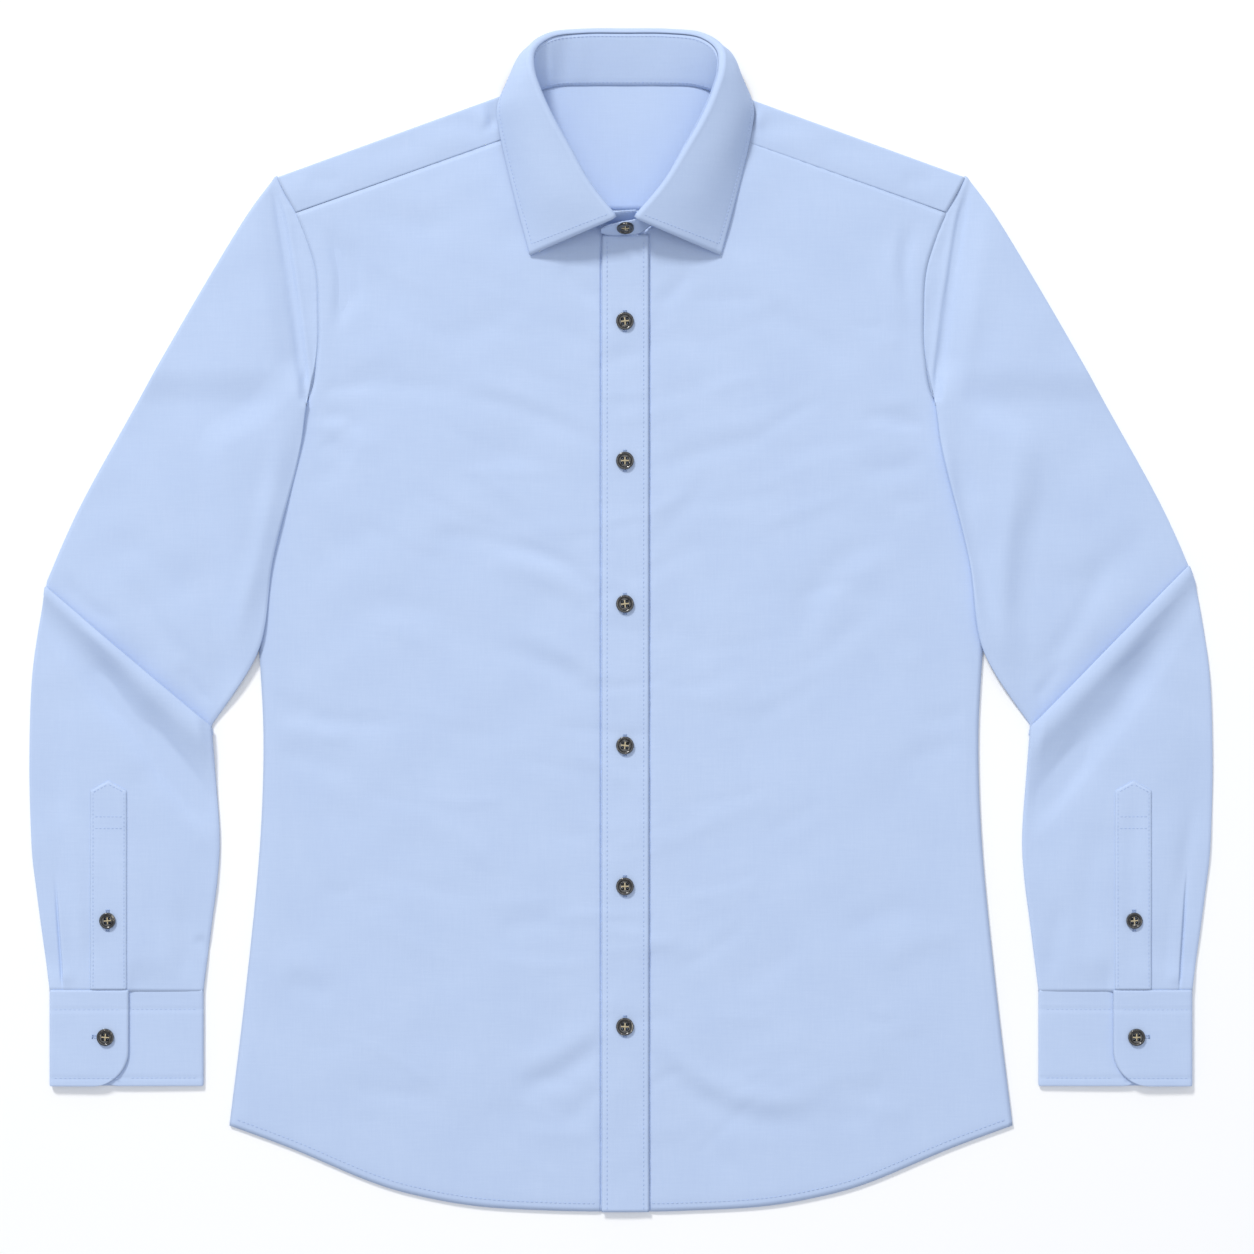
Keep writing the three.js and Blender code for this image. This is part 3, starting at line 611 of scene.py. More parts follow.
def back_panel():
    """A flat panel between the hem, both sides and the yoke's seam."""
    hem_half = spline(HEM, even(50))
    hem = np.vstack([hem_half, mirror(hem_half[:-1])[::-1]])
    corner = ARMHOLE[-1][0]
    top = np.linspace((corner, BACK_YOKE_Y - SEAM), (-corner, BACK_YOKE_Y - SEAM), len(hem))
    left = body_side.copy()
    left[-1] = top[0]
    plan = coons(hem, top, left, mirror(left))
    return cloth_wall("back_shell", lay(plan, np.full(plan.shape[:2], CLOTH)), thickness=CLOTH - 0.1)


finish_cloth(back_panel(), ["back"], (0.532, 0.68), area=0.321)

# %% [markdown]
# Each front is one panel from the side seam and armhole to the placket. Its side edge sinks to
# meet the back at the seam, its hem sinks to a pressed edge, and the creases lie between.

# %% Fronts
def front_panel(side, centre_x):
    """The panel from its side seam to its cut edge under the placket, drawn for the half at -X."""
    neck = [tuple(row) for row in np.array(COLLAR)[5:, :2] + (NECK_X if side < 0 else -NECK_X, 0)]
    # Columns lie close together where the placket's edge crosses the panel
    dense = (0.89, 0.935) if side < 0 else (0.955, 0.992)
    across = np.r_[np.linspace(0, dense[0], 74), np.linspace(*dense, 26)[1:],
                   np.linspace(dense[1], 1, 6)[1:]]
    # The yoke's seam and the neckline meet at this share of the top edge
    corner = 0.595
    seam_at, neck_at = across[across <= corner], across[across > corner]
    seam_start = (FRONT_YOKE_START[0], FRONT_YOKE_START[1] - SEAM)
    cut_low, cut_high = (centre_x, HEM[-1][1]), (centre_x, PLACKET_TOP + 1)
    top = np.vstack([spline([seam_start, neck[0]], seam_at / corner),
                     spline([*neck, cut_high], (neck_at - corner) / (1 - corner))])
    left = body_side.copy()
    left[-1] = top[0]
    right = spline([cut_low, cut_high], even(len(left) - 1))
    plan = coons(spline(HEM[:-1] + [cut_low], across), top, left, right, across)
    true = on_side(side, plan)
    edges = (plan[:, :1], plan[:1], plan[-1:])
    to_side, to_hem, from_seam = (np.linalg.norm(plan - edge, axis=2) for edge in edges)
    height = body_height(true[..., 0], true[..., 1], np.minimum(to_side, to_hem))
    # Beside the yoke and the armhole the height turns into that of the seam
    away = ease(0, 24, from_seam)
    height = mix(seam_height(from_seam) + puckers(plan[..., 0], 0.2), height, away)
    armhole = seam_height(to_side) + puckers(plan[..., 1], SEAM_PUCKER) * bell(to_side - 3, 3)
    at_armhole = ease(118, 140, plan[..., 1]) * (1 - ease(3, 16, to_side)) * away
    name = "front_left_shell" if side < 0 else "front_right_shell"
    return cloth_wall(name, lay(true, mix(height, armhole, at_armhole)))


finish_cloth(front_panel(-1, 12), ["front_left"], (0.278, 0.7325), area=0.174)
finish_cloth(front_panel(1, -12.4), ["front_right"], (0.2536, 0.7325), area=0.157)

# %% [markdown]
# The yoke covers the back of the shoulders and folds over both of them to a seam on the chest.
# It is drawn as one strip of cloth: the part under the neck, then for each shoulder the round
# fold and the band on top of it.

# %% Yoke
EDGE_R = (2 * CLOTH + SEAM) / 2
YOKE_ACROSS = 60
BACK_ROWS = 26


def yoke_half():
    """Rows run from the seam on the chest over the shoulder's fold and down the back, at -X."""
    neck_end = np.array(COLLAR)[5, :2] + (NECK_X, 0)
    fold = spline(SHOULDER_FOLD, even(YOKE_ACROSS))
    seam = spline([FRONT_YOKE_START, tuple(neck_end)], even(YOKE_ACROSS))
    low = np.linspace((-221.7, BACK_YOKE_Y), (-69, BACK_YOKE_Y), YOKE_ACROSS + 1)
    width = np.linalg.norm(seam - fold, axis=1, keepdims=True)
    inward = (seam - fold) / width
    run = np.linspace(0, 160, YOKE_ACROSS + 1)
    rows = []
    for f in np.r_[0, 0.025, 0.06, np.linspace(0.12, 1, 16)]:
        p = fold + inward * (width * (1 - f) + EDGE_R * f)
        from_seam = f * width[:, 0]
        loose = ripples(*p.T, 0.16, seed=5) + crease_heights(*p.T, YOKE_CREASES) + 0.7
        height = seam_height(from_seam) + loose * math.sin(math.pi * f)
        height += puckers(run, 0.2) * bell(from_seam - 2, 2)
        rows.append(lay(p, height - 0.45 * f))
    for angle in np.radians(np.linspace(90, -90, 9))[1:]:
        p = fold + inward * EDGE_R * (1 - math.cos(angle))
        rows.append(lay(p, np.full(YOKE_ACROSS + 1, EDGE_R * (1 + math.sin(angle)))))
    start = fold + inward * EDGE_R
    for f in np.linspace(0, 1, BACK_ROWS)[1:]:
        rows.append(lay(mix(start, low, f), np.zeros(YOKE_ACROSS + 1)))
    return np.array(rows)


def yoke_shell():
    """The two shoulders and the flat middle between them, joined in one piece."""
    half = yoke_half()
    pieces = []
    for name, grid in (("yoke_a", half), ("yoke_b", mirror(half))):
        normal = grid_normals(grid)
        pieces.append(cloth_wall(name, grid, inward=normal * -np.sign(normal[4, :, 2].mean())))
    left, right = half[-BACK_ROWS:, -1], mirror(half)[-BACK_ROWS:, -1]
    t = np.linspace(0, 1, 60)[None, :, None]
    flat = mix(left[:, None], right[:, None], t)
    # The neckline curves up under the stand
    flat[..., 1] += 6.2 * (1 - (2 * t[..., 0] - 1) ** 4) * np.linspace(1, 0, BACK_ROWS)[:, None]
    flat[..., 2] = CLOTH
    pieces.append(cloth_wall("yoke_c", flat, thickness=CLOTH - 0.1))
    yoke = join(pieces)
    yoke.name = "yoke_shell"
    return yoke


finish_cloth(yoke_shell(), ["yoke"], (0.486, 0.114), area=0.0388)

# %% [markdown]
# The placket is a folded strip of cloth down the front edge, which holds the buttonholes. It
# lies on the fronts, so its heights are theirs, moved up by its own thickness.

# %% Front placket
PLACKET_RISE = 1.15
PLACKET_STITCH_IN = 3.6


def placket_height(x, y, to_hem):
    # The strip bridges the small puckers below it, so it follows only the larger folds
    middle = np.full_like(x, sum(PLACKET_X) / 2)
    under = 0.5 * (body_height(x, y, to_hem) + body_height(middle, y, to_hem))
    return np.maximum(under, FRONT_TOP) + 0.2


def placket_wave(x, y):
    """Small waves of the strip itself, without the puckers of its stitches."""
    return ripples(x, y, 0.1, seed=3, shortest=18, longest=60)


def placket_puckers(x, y):
    # The two rows of stitches don't gather the cloth at the same places
    return puckers(y + 40 * (x > sum(PLACKET_X) / 2), SEAM_PUCKER)


def placket_top(x, y):
    """Top of the strip at a place, without its own waves."""
    x, y = np.atleast_1d(x).astype(float), np.atleast_1d(y).astype(float)
    return placket_height(x, y, y - HEM[-1][1] + 6) + PLACKET_RISE


def placket_shell():
    x, y = np.meshgrid(np.linspace(*PLACKET_X, 23), np.linspace(HEM[-1][1], PLACKET_TOP, 300))
    from_edge = np.minimum(x - PLACKET_X[0], PLACKET_X[1] - x)
    height = placket_top(x, y) - 0.25 * (1 - ease(0, 0.8, from_edge)) + placket_wave(x, y)
    height += placket_puckers(x, y) * bell(from_edge - PLACKET_STITCH_IN, 1.3)
    return cloth_wall("front_placket_shell", lay(np.stack([x, y], -1), height), thickness=0.9)


finish_cloth(placket_shell(), ["front_placket"], (0.032, 0.6635))

# %% [markdown]
# A sleeve is one piece of cloth sewn into a tube. Laid flat it has a top layer, a layer under it
# and a soft fold at each edge. At the elbow the forearm is turned inwards, and the spare cloth
# folds over the upper arm: a rolled ridge with a sharp edge above it and a hollow below. A row of
# cloth can pass over another only if its points may move sideways as well as up, so a small
# profile of both moves the rows near the elbow.

# %% Sleeve tables
SLEEVES = {
    "left": {
        "side": -1,
        "fold_outer": (-389, 24),
        "hollow": 1.0,
        "creases": [
            (-230, 130, -262, -14, 4, 7, 1.7), (-216, 137, -247, -18, 4, 5, -0.9),
            (-350, 60, -286, 10, 6, 12, -0.9), (-332, 30, -282, -38, -5, 8, -1.1),
            (-268, 232, -246, 120, 8, 15, -0.7), (-380, 30, -340, -2, -4, 6, -0.9),
            (-300, 150, -262, 60, 6, 20, 0.8), (-262, 80, -254, -10, 3, 9, 0.8),
            (-290, 60, -262, -40, 6, 10, -0.7), (-300, -30, -278, -58, 0, 5, -0.9),
            (-388, -120, -376, -240, 3, 6, -0.9), (-372, -150, -368, -245, 2, 5, 0.6),
            (-322, -150, -318, -245, 3, 9, -0.6), (-300, -190, -296, -248, 2, 7, -0.8),
            (-288, -215, -278, -228, 1, 4, -0.9), (-344, -60, -330, -110, 5, 14, 0.8),
            (-392, -60, -384, -140, 4, 8, -0.8),
        ],
    },
    "right": {
        "side": 1,
        "fold_outer": (-386, 39),
        "hollow": 0.65,
        "creases": [
            (-229, 132, -260, -14, 4, 6, -0.9), (-217, 137, -248, -18, 4, 5, 2.2),
            (-362, 72, -296, 20, -8, 12, -1.0), (-330, 44, -280, -40, -5, 8, -1.2),
            (-262, 232, -238, 120, 8, 14, -1.0), (-300, 150, -262, 60, 6, 20, 0.9),
            (-266, 90, -258, -10, 3, 8, 1.1), (-282, 84, -270, -20, 5, 9, -0.9),
            (-300, -28, -280, -56, 0, 5, -0.9), (-390, -120, -380, -235, 3, 6, -1.1),
            (-350, -110, -346, -240, 2, 7, -0.6), (-322, -140, -316, -245, 3, 9, -0.7),
            (-300, -190, -292, -248, 2, 7, -0.8), (-344, -40, -322, -100, 6, 14, 0.9),
        ],
    },
}
# Profile across the elbow fold: distance below the fold line, height over the plain level
ELBOW_PROFILE = [
    (-16, 0), (-10, -0.2), (-5, -0.6), (0, -1.0), (4, -1.0), (7, -0.3), (7, 1.0), (4.4, 2.3), (1.6, 3.4),
    (0.3, 4.3), (0.6, 5.2), (2.6, 6.0), (5.6, 6.5), (9, 6.4), (12.5, 5.7), (16, 4.4), (20, 2.8),
    (24.5, 1.3), (30, 0.0), (36, -0.9), (43, -1.2), (52, -0.7), (62, 0),
]
ELBOW_SPREAD = (0.5, 1.45)
HEAD_TROUGH = [(-234, 297.5), (-228.5, 268), (-224, 240), (-220, 213), (-216.5, 186), (-214, 166),
               (-213.4, 151)]
CUFF_PLEAT = [(-384, -168), (-378.5, -251)]
ELBOW_HOLLOW = [(-368, -8, -284, -126, -6, 12, -3.4), (-322, -58, -279, -142, -3, 10, -2.4)]
UNDER_SLEEVE = [(-211, 151), (-232, 126), (-258, 112), (-251, 40), (-245, -32), (-242.8, -90),
                (-150, -90), (-150, 151)]
TORSO_RAMP = (8, 32)
# A pressed fold bulges this far sideways
FOLD_R = 0.6


def lift(x, y):
    """How far the sleeve is lifted where it lies on the body."""
    near = np.full(np.shape(x), np.inf)
    inside = np.zeros(np.shape(x), bool)
    for a, b in zip(UNDER_SLEEVE, UNDER_SLEEVE[1:] + UNDER_SLEEVE[:1]):
        ex, ey = b[0] - a[0], b[1] - a[1]
        t = np.clip(((x - a[0]) * ex + (y - a[1]) * ey) / (ex * ex + ey * ey), 0, 1)
        near = np.minimum(near, np.hypot(a[0] + ex * t - x, a[1] + ey * t - y))
        if ey:
            inside ^= ((a[1] > y) != (b[1] > y)) & (x < ex * (y - a[1]) / ey + a[0])
    return 2 * LAYER * np.where(inside, 1, 1 - ease(*TORSO_RAMP, near))


def dense_patch(bottom, top, left, right):
    """Gives the plan point at any u and v of a patch between four curves."""
    t = even(400)
    low, high, start, end = (spline(points, t) for points in (bottom, top, left, right))

    def plan(u, v):
        b, p, l, r = (read_off(f, t, edge) for f, edge in ((u, low), (u, high), (v, start), (v, end)))
        u, v = u[..., None], v[..., None]
        return mix(b, p, v) + mix(l, r, u) - mix(mix(low[0], low[-1], u), mix(high[0], high[-1], u), v)
    return plan


ELBOW_LINE = [UPPER_OUTER[-1], UPPER_INNER[-1]]
upper_plan = dense_patch(SLEEVE_HEAD, ELBOW_LINE, UPPER_OUTER, UPPER_INNER)
lower_plan = dense_patch(ELBOW_LINE, [LOWER_OUTER[-1], LOWER_INNER[-1]], LOWER_OUTER, LOWER_INNER)
UPPER_LENGTHS = [run_along(spline(edge, even(200)))[-1] for edge in (UPPER_OUTER, UPPER_INNER)]
LOWER_LENGTHS = [run_along(spline(edge, even(200)))[-1] for edge in (LOWER_OUTER, LOWER_INNER)]


def sleeve_plan(u, s):
    """Plan point at u across the sleeve and s millimetres below the elbow line."""
    lower = mix(*LOWER_LENGTHS, u)
    above = upper_plan(u, np.clip(1 + s / mix(*UPPER_LENGTHS, u), 0, 1))
    below = lower_plan(u, np.clip(s / lower, 0, 1))
    below[..., 1] -= np.maximum(0, s - lower)
    return np.where((s < 0)[..., None], above, below)


def trough_x(y):
    """Where the trough beside the sleeve's head lies."""
    x, at = zip(*HEAD_TROUGH[::-1])
    return np.interp(y, at, x)


def sleeve_relief(x, y, table, u):
    """Soft height of the top layer over its plain level, away from the elbow's own fold."""
    outward = trough_x(y) - x
    head = ease(146, 172, y)
    step = 2.6 * ease(-1, 24, outward) - 2.2 * bell(outward - 1.8, 3.2) + 0.8 * bell(outward + 2.8, 2.6)
    (top_x, top_y), (low_x, low_y) = CUFF_PLEAT
    inside = x - mix(top_x, low_x, (top_y - y) / (top_y - low_y))
    fold = ease(-0.8, 0.5, inside) * (1 - ease(1, 11, inside)) - 0.8 * bell(inside + 1.1, 0.9)
    pleat = 1.5 * (1 - ease(-205, -165, y)) * fold * (0.15 + 0.85 * ease(-250, -240, y))
    to_edge = np.minimum(u, 1 - u)
    puff = 2.6 * ease(-0.1, 0.4, to_edge) * (1 - head * (1 - ease(0, 22, outward)))
    puff -= 0.3 * (1 - ease(0, 0.01, to_edge))
    at_cuff = 1 - ease(-250, -228, y)
    up_to_cuff = at_cuff * (0.5 + 1.3 * (1 - ease(-336, -329, x)))
    return (step * head * (1 - 0.5 * ease(270, 300, y)) + pleat + up_to_cuff
            + (puff + crease_heights(x, y, table)) * (1 - 0.75 * at_cuff)
            + ripples(x, y, 0.26, seed=21) * (1 - at_cuff))


def sleeve_rows(u, spec):
    """Distances below the elbow line and heights, row by row, for the columns u."""
    fold = np.array(ELBOW_PROFILE, float)
    first, last = fold[0, 0], 86.0
    above = -np.r_[np.linspace(290, 266, 22), np.linspace(266, -first, 84)[1:-1]]
    below = np.r_[np.linspace(last, 238, 56)[1:], np.linspace(238, 250, 10)[1:]]
    at = np.linspace(0, len(fold) - 1, 64)
    profile = read_off(at, np.arange(len(fold)), fold)
    for _ in range(2):
        profile[1:-1] = (profile[:-2] + 2 * profile[1:-1] + profile[2:]) / 4
    # The forearm's side of the fold is narrow at the outer edge and broad towards the inner one
    shift = np.repeat(profile[:, :1], len(u), axis=1)
    over = at > 9
    shift[over] = 0.3 + (shift[over] - 0.3) * mix(*ELBOW_SPREAD, u)
    strength = (0.5 + 0.5 * ease(0, 0.45, u)) * (1 - 0.45 * ease(0.92, 1, u))
    top = first + (above[:, None] - first) / (above[0] - first) * (-mix(*UPPER_LENGTHS, u)[None] - first)
    start = shift[-1]
    low = start + (below[:, None] - last) / (below[-1] - last) * (mix(*LOWER_LENGTHS, u) - start)[None]
    low[-1] += 1.5
    # The layer below has no fold, so its rows never turn back
    even_run = mix(shift[0], start, np.linspace(0, 1, len(shift))[:, None])
    unfolded = mix(np.maximum.accumulate(shift, axis=0), even_run, 0.03)
    # The fold line isn't quite the patch's own line: the rows lean to meet its outer end
    lean = (1 - u)[None] * (UPPER_OUTER[-1][1] - spec["fold_outer"][1])
    s, flat = (np.vstack([top, rows, low]) for rows in (shift, unfolded))
    s, flat = (rows + lean * bell(rows, 60.0) for rows in (s, flat))
    z = np.vstack([np.zeros_like(top), strength[None] * profile[:, 1:], np.zeros_like(low)])
    return s, z, flat


SLEEVE_COLUMNS = np.r_[np.linspace(0, 0.04, 6), np.linspace(0.045, 0.15, 26),
                       np.linspace(0.16, 0.93, 84), np.linspace(0.945, 1, 7)]
UNDER_COLUMNS = 18
EDGE_DROP = 0.35


def sleeve_shell(name, spec):
    """A ring of columns: the outer fold, the top layer, the inner fold and the layer under it."""
    u = SLEEVE_COLUMNS
    last = len(u) - 1
    s, fold_z, flat = sleeve_rows(u, spec)
    plan = sleeve_plan(np.broadcast_to(u, s.shape), s)
    x, y = plan[..., 0], plan[..., 1]
    from_head = s + mix(*UPPER_LENGTHS, u)[None]
    beside = ease(146, 152, y) * (1 - ease(-1, 6, trough_x(y) - x))
    low = lift(x, y) * (1 - beside) * ease(-1, 9, from_head)
    top_z = low + 2 * EDGE_R + fold_z + sleeve_relief(x, y, spec["creases"], u[None])
    # Below the ridge a long hollow runs down to the inner edge of the elbow
    top_z = top_z + spec["hollow"] * crease_heights(x, y, ELBOW_HOLLOW) * ease(6, 14, s)
    top_z = np.maximum(top_z, low + CLOTH + 0.4 + 0.2 * np.tanh(top_z - low - CLOTH))
    # The head is sewn to the body at one level, in a fine groove
    sewn = np.minimum(low, 0.6) + seam_height(from_head)
    sewn = sewn + puckers(y, SEAM_PUCKER) * bell(from_head - 3, 3)
    top_z = mix(sewn, top_z, ease(0, 9, from_head))
    # The seam allowance tucks under the body's cloth
    seam_run = np.gradient(plan[0], axis=0)
    to_body = unit(np.stack([-seam_run[:, 1], seam_run[:, 0]], -1))
    under_plan = sleeve_plan(np.broadcast_to(u, flat.shape), flat)
    under_plan = np.concatenate([under_plan[:1] + to_body * 0.05, under_plan])
    plan = np.concatenate([plan[:1] + to_body * 1.6, plan])
    low = np.concatenate([low[:1], low])
    top_z = np.concatenate([np.full((1, len(u)), 2.3), top_z])
    # The fold at each edge starts flat at the armhole seam
    across = unit(plan[:, -1] - plan[:, 0]) * np.r_[0, ease(0, 8, from_head[:, -1])][:, None]
    columns = []

    def rounded(end, inward, turns):
        half = (top_z[:, end] - EDGE_DROP - low[:, end]) / 2
        for angle in np.radians(turns):
            rise = (1 + math.sin(angle)) / 2
            p = mix(under_plan[:, end], plan[:, end], rise) + inward * FOLD_R * (1 - math.cos(angle))
            columns.append(lay(p, low[:, end] + half + half * math.sin(angle)))

    turns = (-90, -60, -30, 0, 30, 60)
    rounded(0, across, turns)
    for k, share in enumerate(u):
        p = plan[:, k] + across * FOLD_R * (1 - 2 * share)
        drop = EDGE_DROP * math.exp(-min(share, 1 - share) / 0.005)
        columns.append(lay(p, top_z[:, k] - drop))
    rounded(last, -across, turns[::-1])
    for share in np.linspace(1, 0, UNDER_COLUMNS)[1:-1]:
        k = min(int(np.searchsorted(u, share, side="right")) - 1, last - 1)
        part = (share - u[k]) / (u[k + 1] - u[k])
        p = mix(under_plan[:, k], under_plan[:, k + 1], part) + across * FOLD_R * (1 - 2 * share)
        columns.append(lay(p, mix(low[:, k], low[:, k + 1], part)))
    grid = np.stack(columns, axis=1)
    grid[..., 2] = np.maximum(grid[..., 2], 0.0)
    normal = grid_normals(grid, ring=True)
    if normal[:, 30, 2].mean() < 0:
        normal = -normal
    grid, normal = (on_side(spec["side"], rows) for rows in (grid, normal))
    return cloth_wall(name, grid, ring=True, inward=-normal)


for word, spec in SLEEVES.items():
    finish_cloth(sleeve_shell(f"sleeve_{word}_shell", spec), [f"sleeve_{word}"], (0.29, 0.613),
                 area=0.133)

# %% [markdown]
# The pointed placket finishes the slit above the cuff. It is a narrow strip sewn flat on the
# sleeve, so it takes the sleeve's own heights at its place and lies on them.

# %% Sleeve plackets
SLEEVE_PLACKET = {"left": -360, "right": -335, "peak": -108.5, "shoulder": -115.5, "bars": (-133, -141)}
SLEEVE_PLACKET_RISE = 0.75
CUFF_TOP = -250.7


def forearm_top(x, y, spec):
    """Top of the sleeve's forearm at a place, as near as the strip on it needs."""
    u = np.clip((x + 401) / 124, 0, 1)
    return 2 * EDGE_R + np.maximum(sleeve_relief(x, y, spec["creases"], u), -0.9)


def sleeve_placket_shell(name, spec):
    """A strip that ends in a point, pressed down along its edges."""
    left, right, peak = (SLEEVE_PLACKET[key] for key in ("left", "right", "peak"))
    cols = np.linspace(left, right, 19)
    aside = np.abs(cols - (left + right) / 2) / ((right - left) / 2)
    top = peak + (SLEEVE_PLACKET["shoulder"] - peak) * aside
    foot = CUFF_TOP + SEAM
    y = foot + (top[None] - foot) * np.linspace(0, 1, 90)[:, None]
    x = np.broadcast_to(cols, y.shape).astype(float)
    from_edge = np.minimum(x - left, right - x)
    pressed = 0.45 * (1 - ease(0, 1.5, from_edge)) + 0.3 * (1 - ease(0, 1.5, top[None] - y))
    height = forearm_top(x, y, spec) + SLEEVE_PLACKET_RISE - pressed
    height += puckers(y, SEAM_PUCKER) * bell(from_edge - 2, 1.2)
    return cloth_wall(name, on_side(spec["side"], lay(np.stack([x, y], -1), height)), thickness=0.6)


for word, spec in SLEEVES.items():
    finish_cloth(sleeve_placket_shell(f"sleeve_placket_{word}_shell", spec), [f"sleeve_placket_{word}"],
                 (0.025, 0.142))

# %% [markdown]
# A cuff is one stiffened strip wrapped round the sleeve's end. On top its buttonhole end laps
# over the other, and both ends have round corners. The path below goes from the lap, round the
# outer fold, along the underside, round the inner fold and back under the lap.

# %% Cuffs
CUFF = {"outer": -388, "inner": -283.6, "lap": -334, "under": -356, "bottom": -316,
        "corner": 24.5, "under_corner": 15}
CUFF_LAP_TOP = 3 * STIFF + 2 * SEAM
CUFF_STITCH_LOW = 5.5
CUFF_STITCH_HIGH = 13.3


def cuff_ripples(x, y):
    return ripples(x, y, 0.12, seed=8, shortest=26, longest=90)


def cuff_swell(x):
    """The layers inside lift the middle of the cuff a little."""
    return 0.5 * np.sin(math.pi * np.clip((x - CUFF["outer"]) / 104, 0, 1))


def cuff_shell(name, spec):
    """The strip's path in x and z, swept from the cuff's bottom to its top seam."""
    half = STIFF / 2
    levels = {"under": half, "inner": half + STIFF + SEAM, "lap": half + 2 * (STIFF + SEAM)}
    path = []

    def straight(x0, x1, z, steps, nz):
        path.extend((x, z, 0.0, nz) for x in np.linspace(x0, x1, steps))

    def bend(x, low, high, sign, angles):
        r = (high - low) / 2
        for a in np.radians(angles):
            path.append((x + sign * (r * math.cos(a) - r - half), (low + high) / 2 + r * math.sin(a),
                         sign * math.cos(a), math.sin(a)))

    straight(CUFF["lap"], CUFF["outer"] + 5, levels["lap"], 26, 1.0)
    bend(CUFF["outer"], levels["under"], levels["lap"], -1, np.linspace(90, -90, 11))
    straight(CUFF["outer"] + 6, CUFF["inner"] - 5, levels["under"], 16, -1.0)
    bend(CUFF["inner"], levels["under"], levels["inner"], 1, np.linspace(-90, 90, 9))
    straight(CUFF["inner"] - 4, CUFF["under"], levels["inner"], 34, 1.0)
    path = np.array(path)
    corner, low = CUFF["corner"], CUFF["bottom"]
    rounds = low + corner * (1 - np.cos(np.linspace(0, math.pi / 2, 22)))
    y = np.r_[rounds, np.linspace(rounds[-1], CUFF_TOP, 30)[1:]]
    x = np.broadcast_to(path[:, 0], (len(y), len(path))).copy()
    # Both ends draw back round their corners, and the points near them follow
    lap, under = slice(0, 26), slice(len(path) - 34, len(path))
    for end, draw_back, radius in ((lap, np.linspace(-1, 0, 26), corner),
                                   (under, np.linspace(0, 1, 34), CUFF["under_corner"])):
        up = np.maximum(0, radius - (y - low))
        cut = radius - np.sqrt(radius ** 2 - up ** 2)
        x[:, end] += cut[:, None] * draw_back[None]
    y = np.broadcast_to(y[:, None], x.shape)
    from_low, from_high = y - low, CUFF_TOP - y
    soft = cuff_ripples(x, y) * ease(0, 10, np.minimum(from_low, from_high)) + cuff_swell(x)
    stitch = 0.3 * bell(from_low - CUFF_STITCH_LOW, 1.2) + 0.35 * bell(from_high - CUFF_STITCH_HIGH, 1.2)
    on_top = path[:, 3] > 0.5
    z = path[:, 1] + np.where(on_top[None], soft - stitch, 0)
    thin = half - 0.3 * (1 - ease(0, 0.8, from_low)) - 0.12 * (1 - ease(0, 0.6, from_high))
    normal = np.broadcast_to(np.stack([path[:, 2], np.zeros(len(path)), path[:, 3]], -1), (*x.shape, 3))
    middle, normal = (on_side(spec["side"], rows) for rows in (np.stack([x, y, z], -1), normal))
    return thick_wall(name, middle, normal, thin)


for word, spec in SLEEVES.items():
    finish_cloth(cuff_shell(f"cuff_{word}_shell", spec), [f"cuff_{word}"], (0.24, 0.0653))

# %% [markdown]
# The stand is a stiff band from the neck seam up to the roll. Its two ends cross at the front:
# the button end passes behind and the buttonhole end in front. The leaf starts at the top of the
# stand, turns over the roll and falls to its edge, a little proud in the middle.

# %% Collar stand
def collar_stand_shell():
    """The band, with its middle surface and normals for the stitches that go on it."""
    half_table = np.array([row[:6] for row in COLLAR])
    other = half_table.copy()
    other[:, (0, 3)] *= -1
    table = np.vstack([STAND_UNDER_END, half_table[:0:-1], other, STAND_OVER_END])
    steps = 10
    base, roll = stations(table[:, :3], steps), stations(table[:, 3:6], steps)
    base[:, 2] -= np.where(base[:, 2] < 3.2, 0.9, 0.4)
    up = roll - base
    reach = np.maximum(0.2, 1 - (LEAF_RISE + SEAM) / np.linalg.norm(up, axis=1))
    run = np.gradient(base, axis=0) + np.gradient(roll, axis=0)
    normal = unit(np.cross(run, up))
    h = np.linspace(0, 1, 18)
    middle = base[:, None] + up[:, None] * (reach[:, None] * h[None])[..., None]
    # The band is stitched near its lower edge, and swells a little above that
    swell = 0.2 * np.sin(math.pi * h) - 0.15 * bell(h - 0.07, 0.03)
    along = np.linspace(0, 1, len(base))
    dents = sum(depth * bell(along - place, width) for place, width, depth in STAND_DENTS)
    swell = swell[None] + dents[:, None] * np.sin(math.pi * h)[None] ** 0.7
    middle = middle + normal[:, None] * swell[..., None] + (NECK_X, 0, 0)
    half = (STIFF / 2) * (0.3 + 0.7 * ease(0, 3, np.minimum(h, 1 - h) * STAND_HEIGHT))
    return thick_wall("collar_stand_shell", middle, normal[:, None], half), middle, normal


stand_piece, stand_middle, stand_normal = collar_stand_shell()
finish_cloth(stand_piece, ["collar_stand"], (0.432, 0.038),
             area=0.0121)

# %% Collar leaf
LEAF_STITCH_IN = 4.2


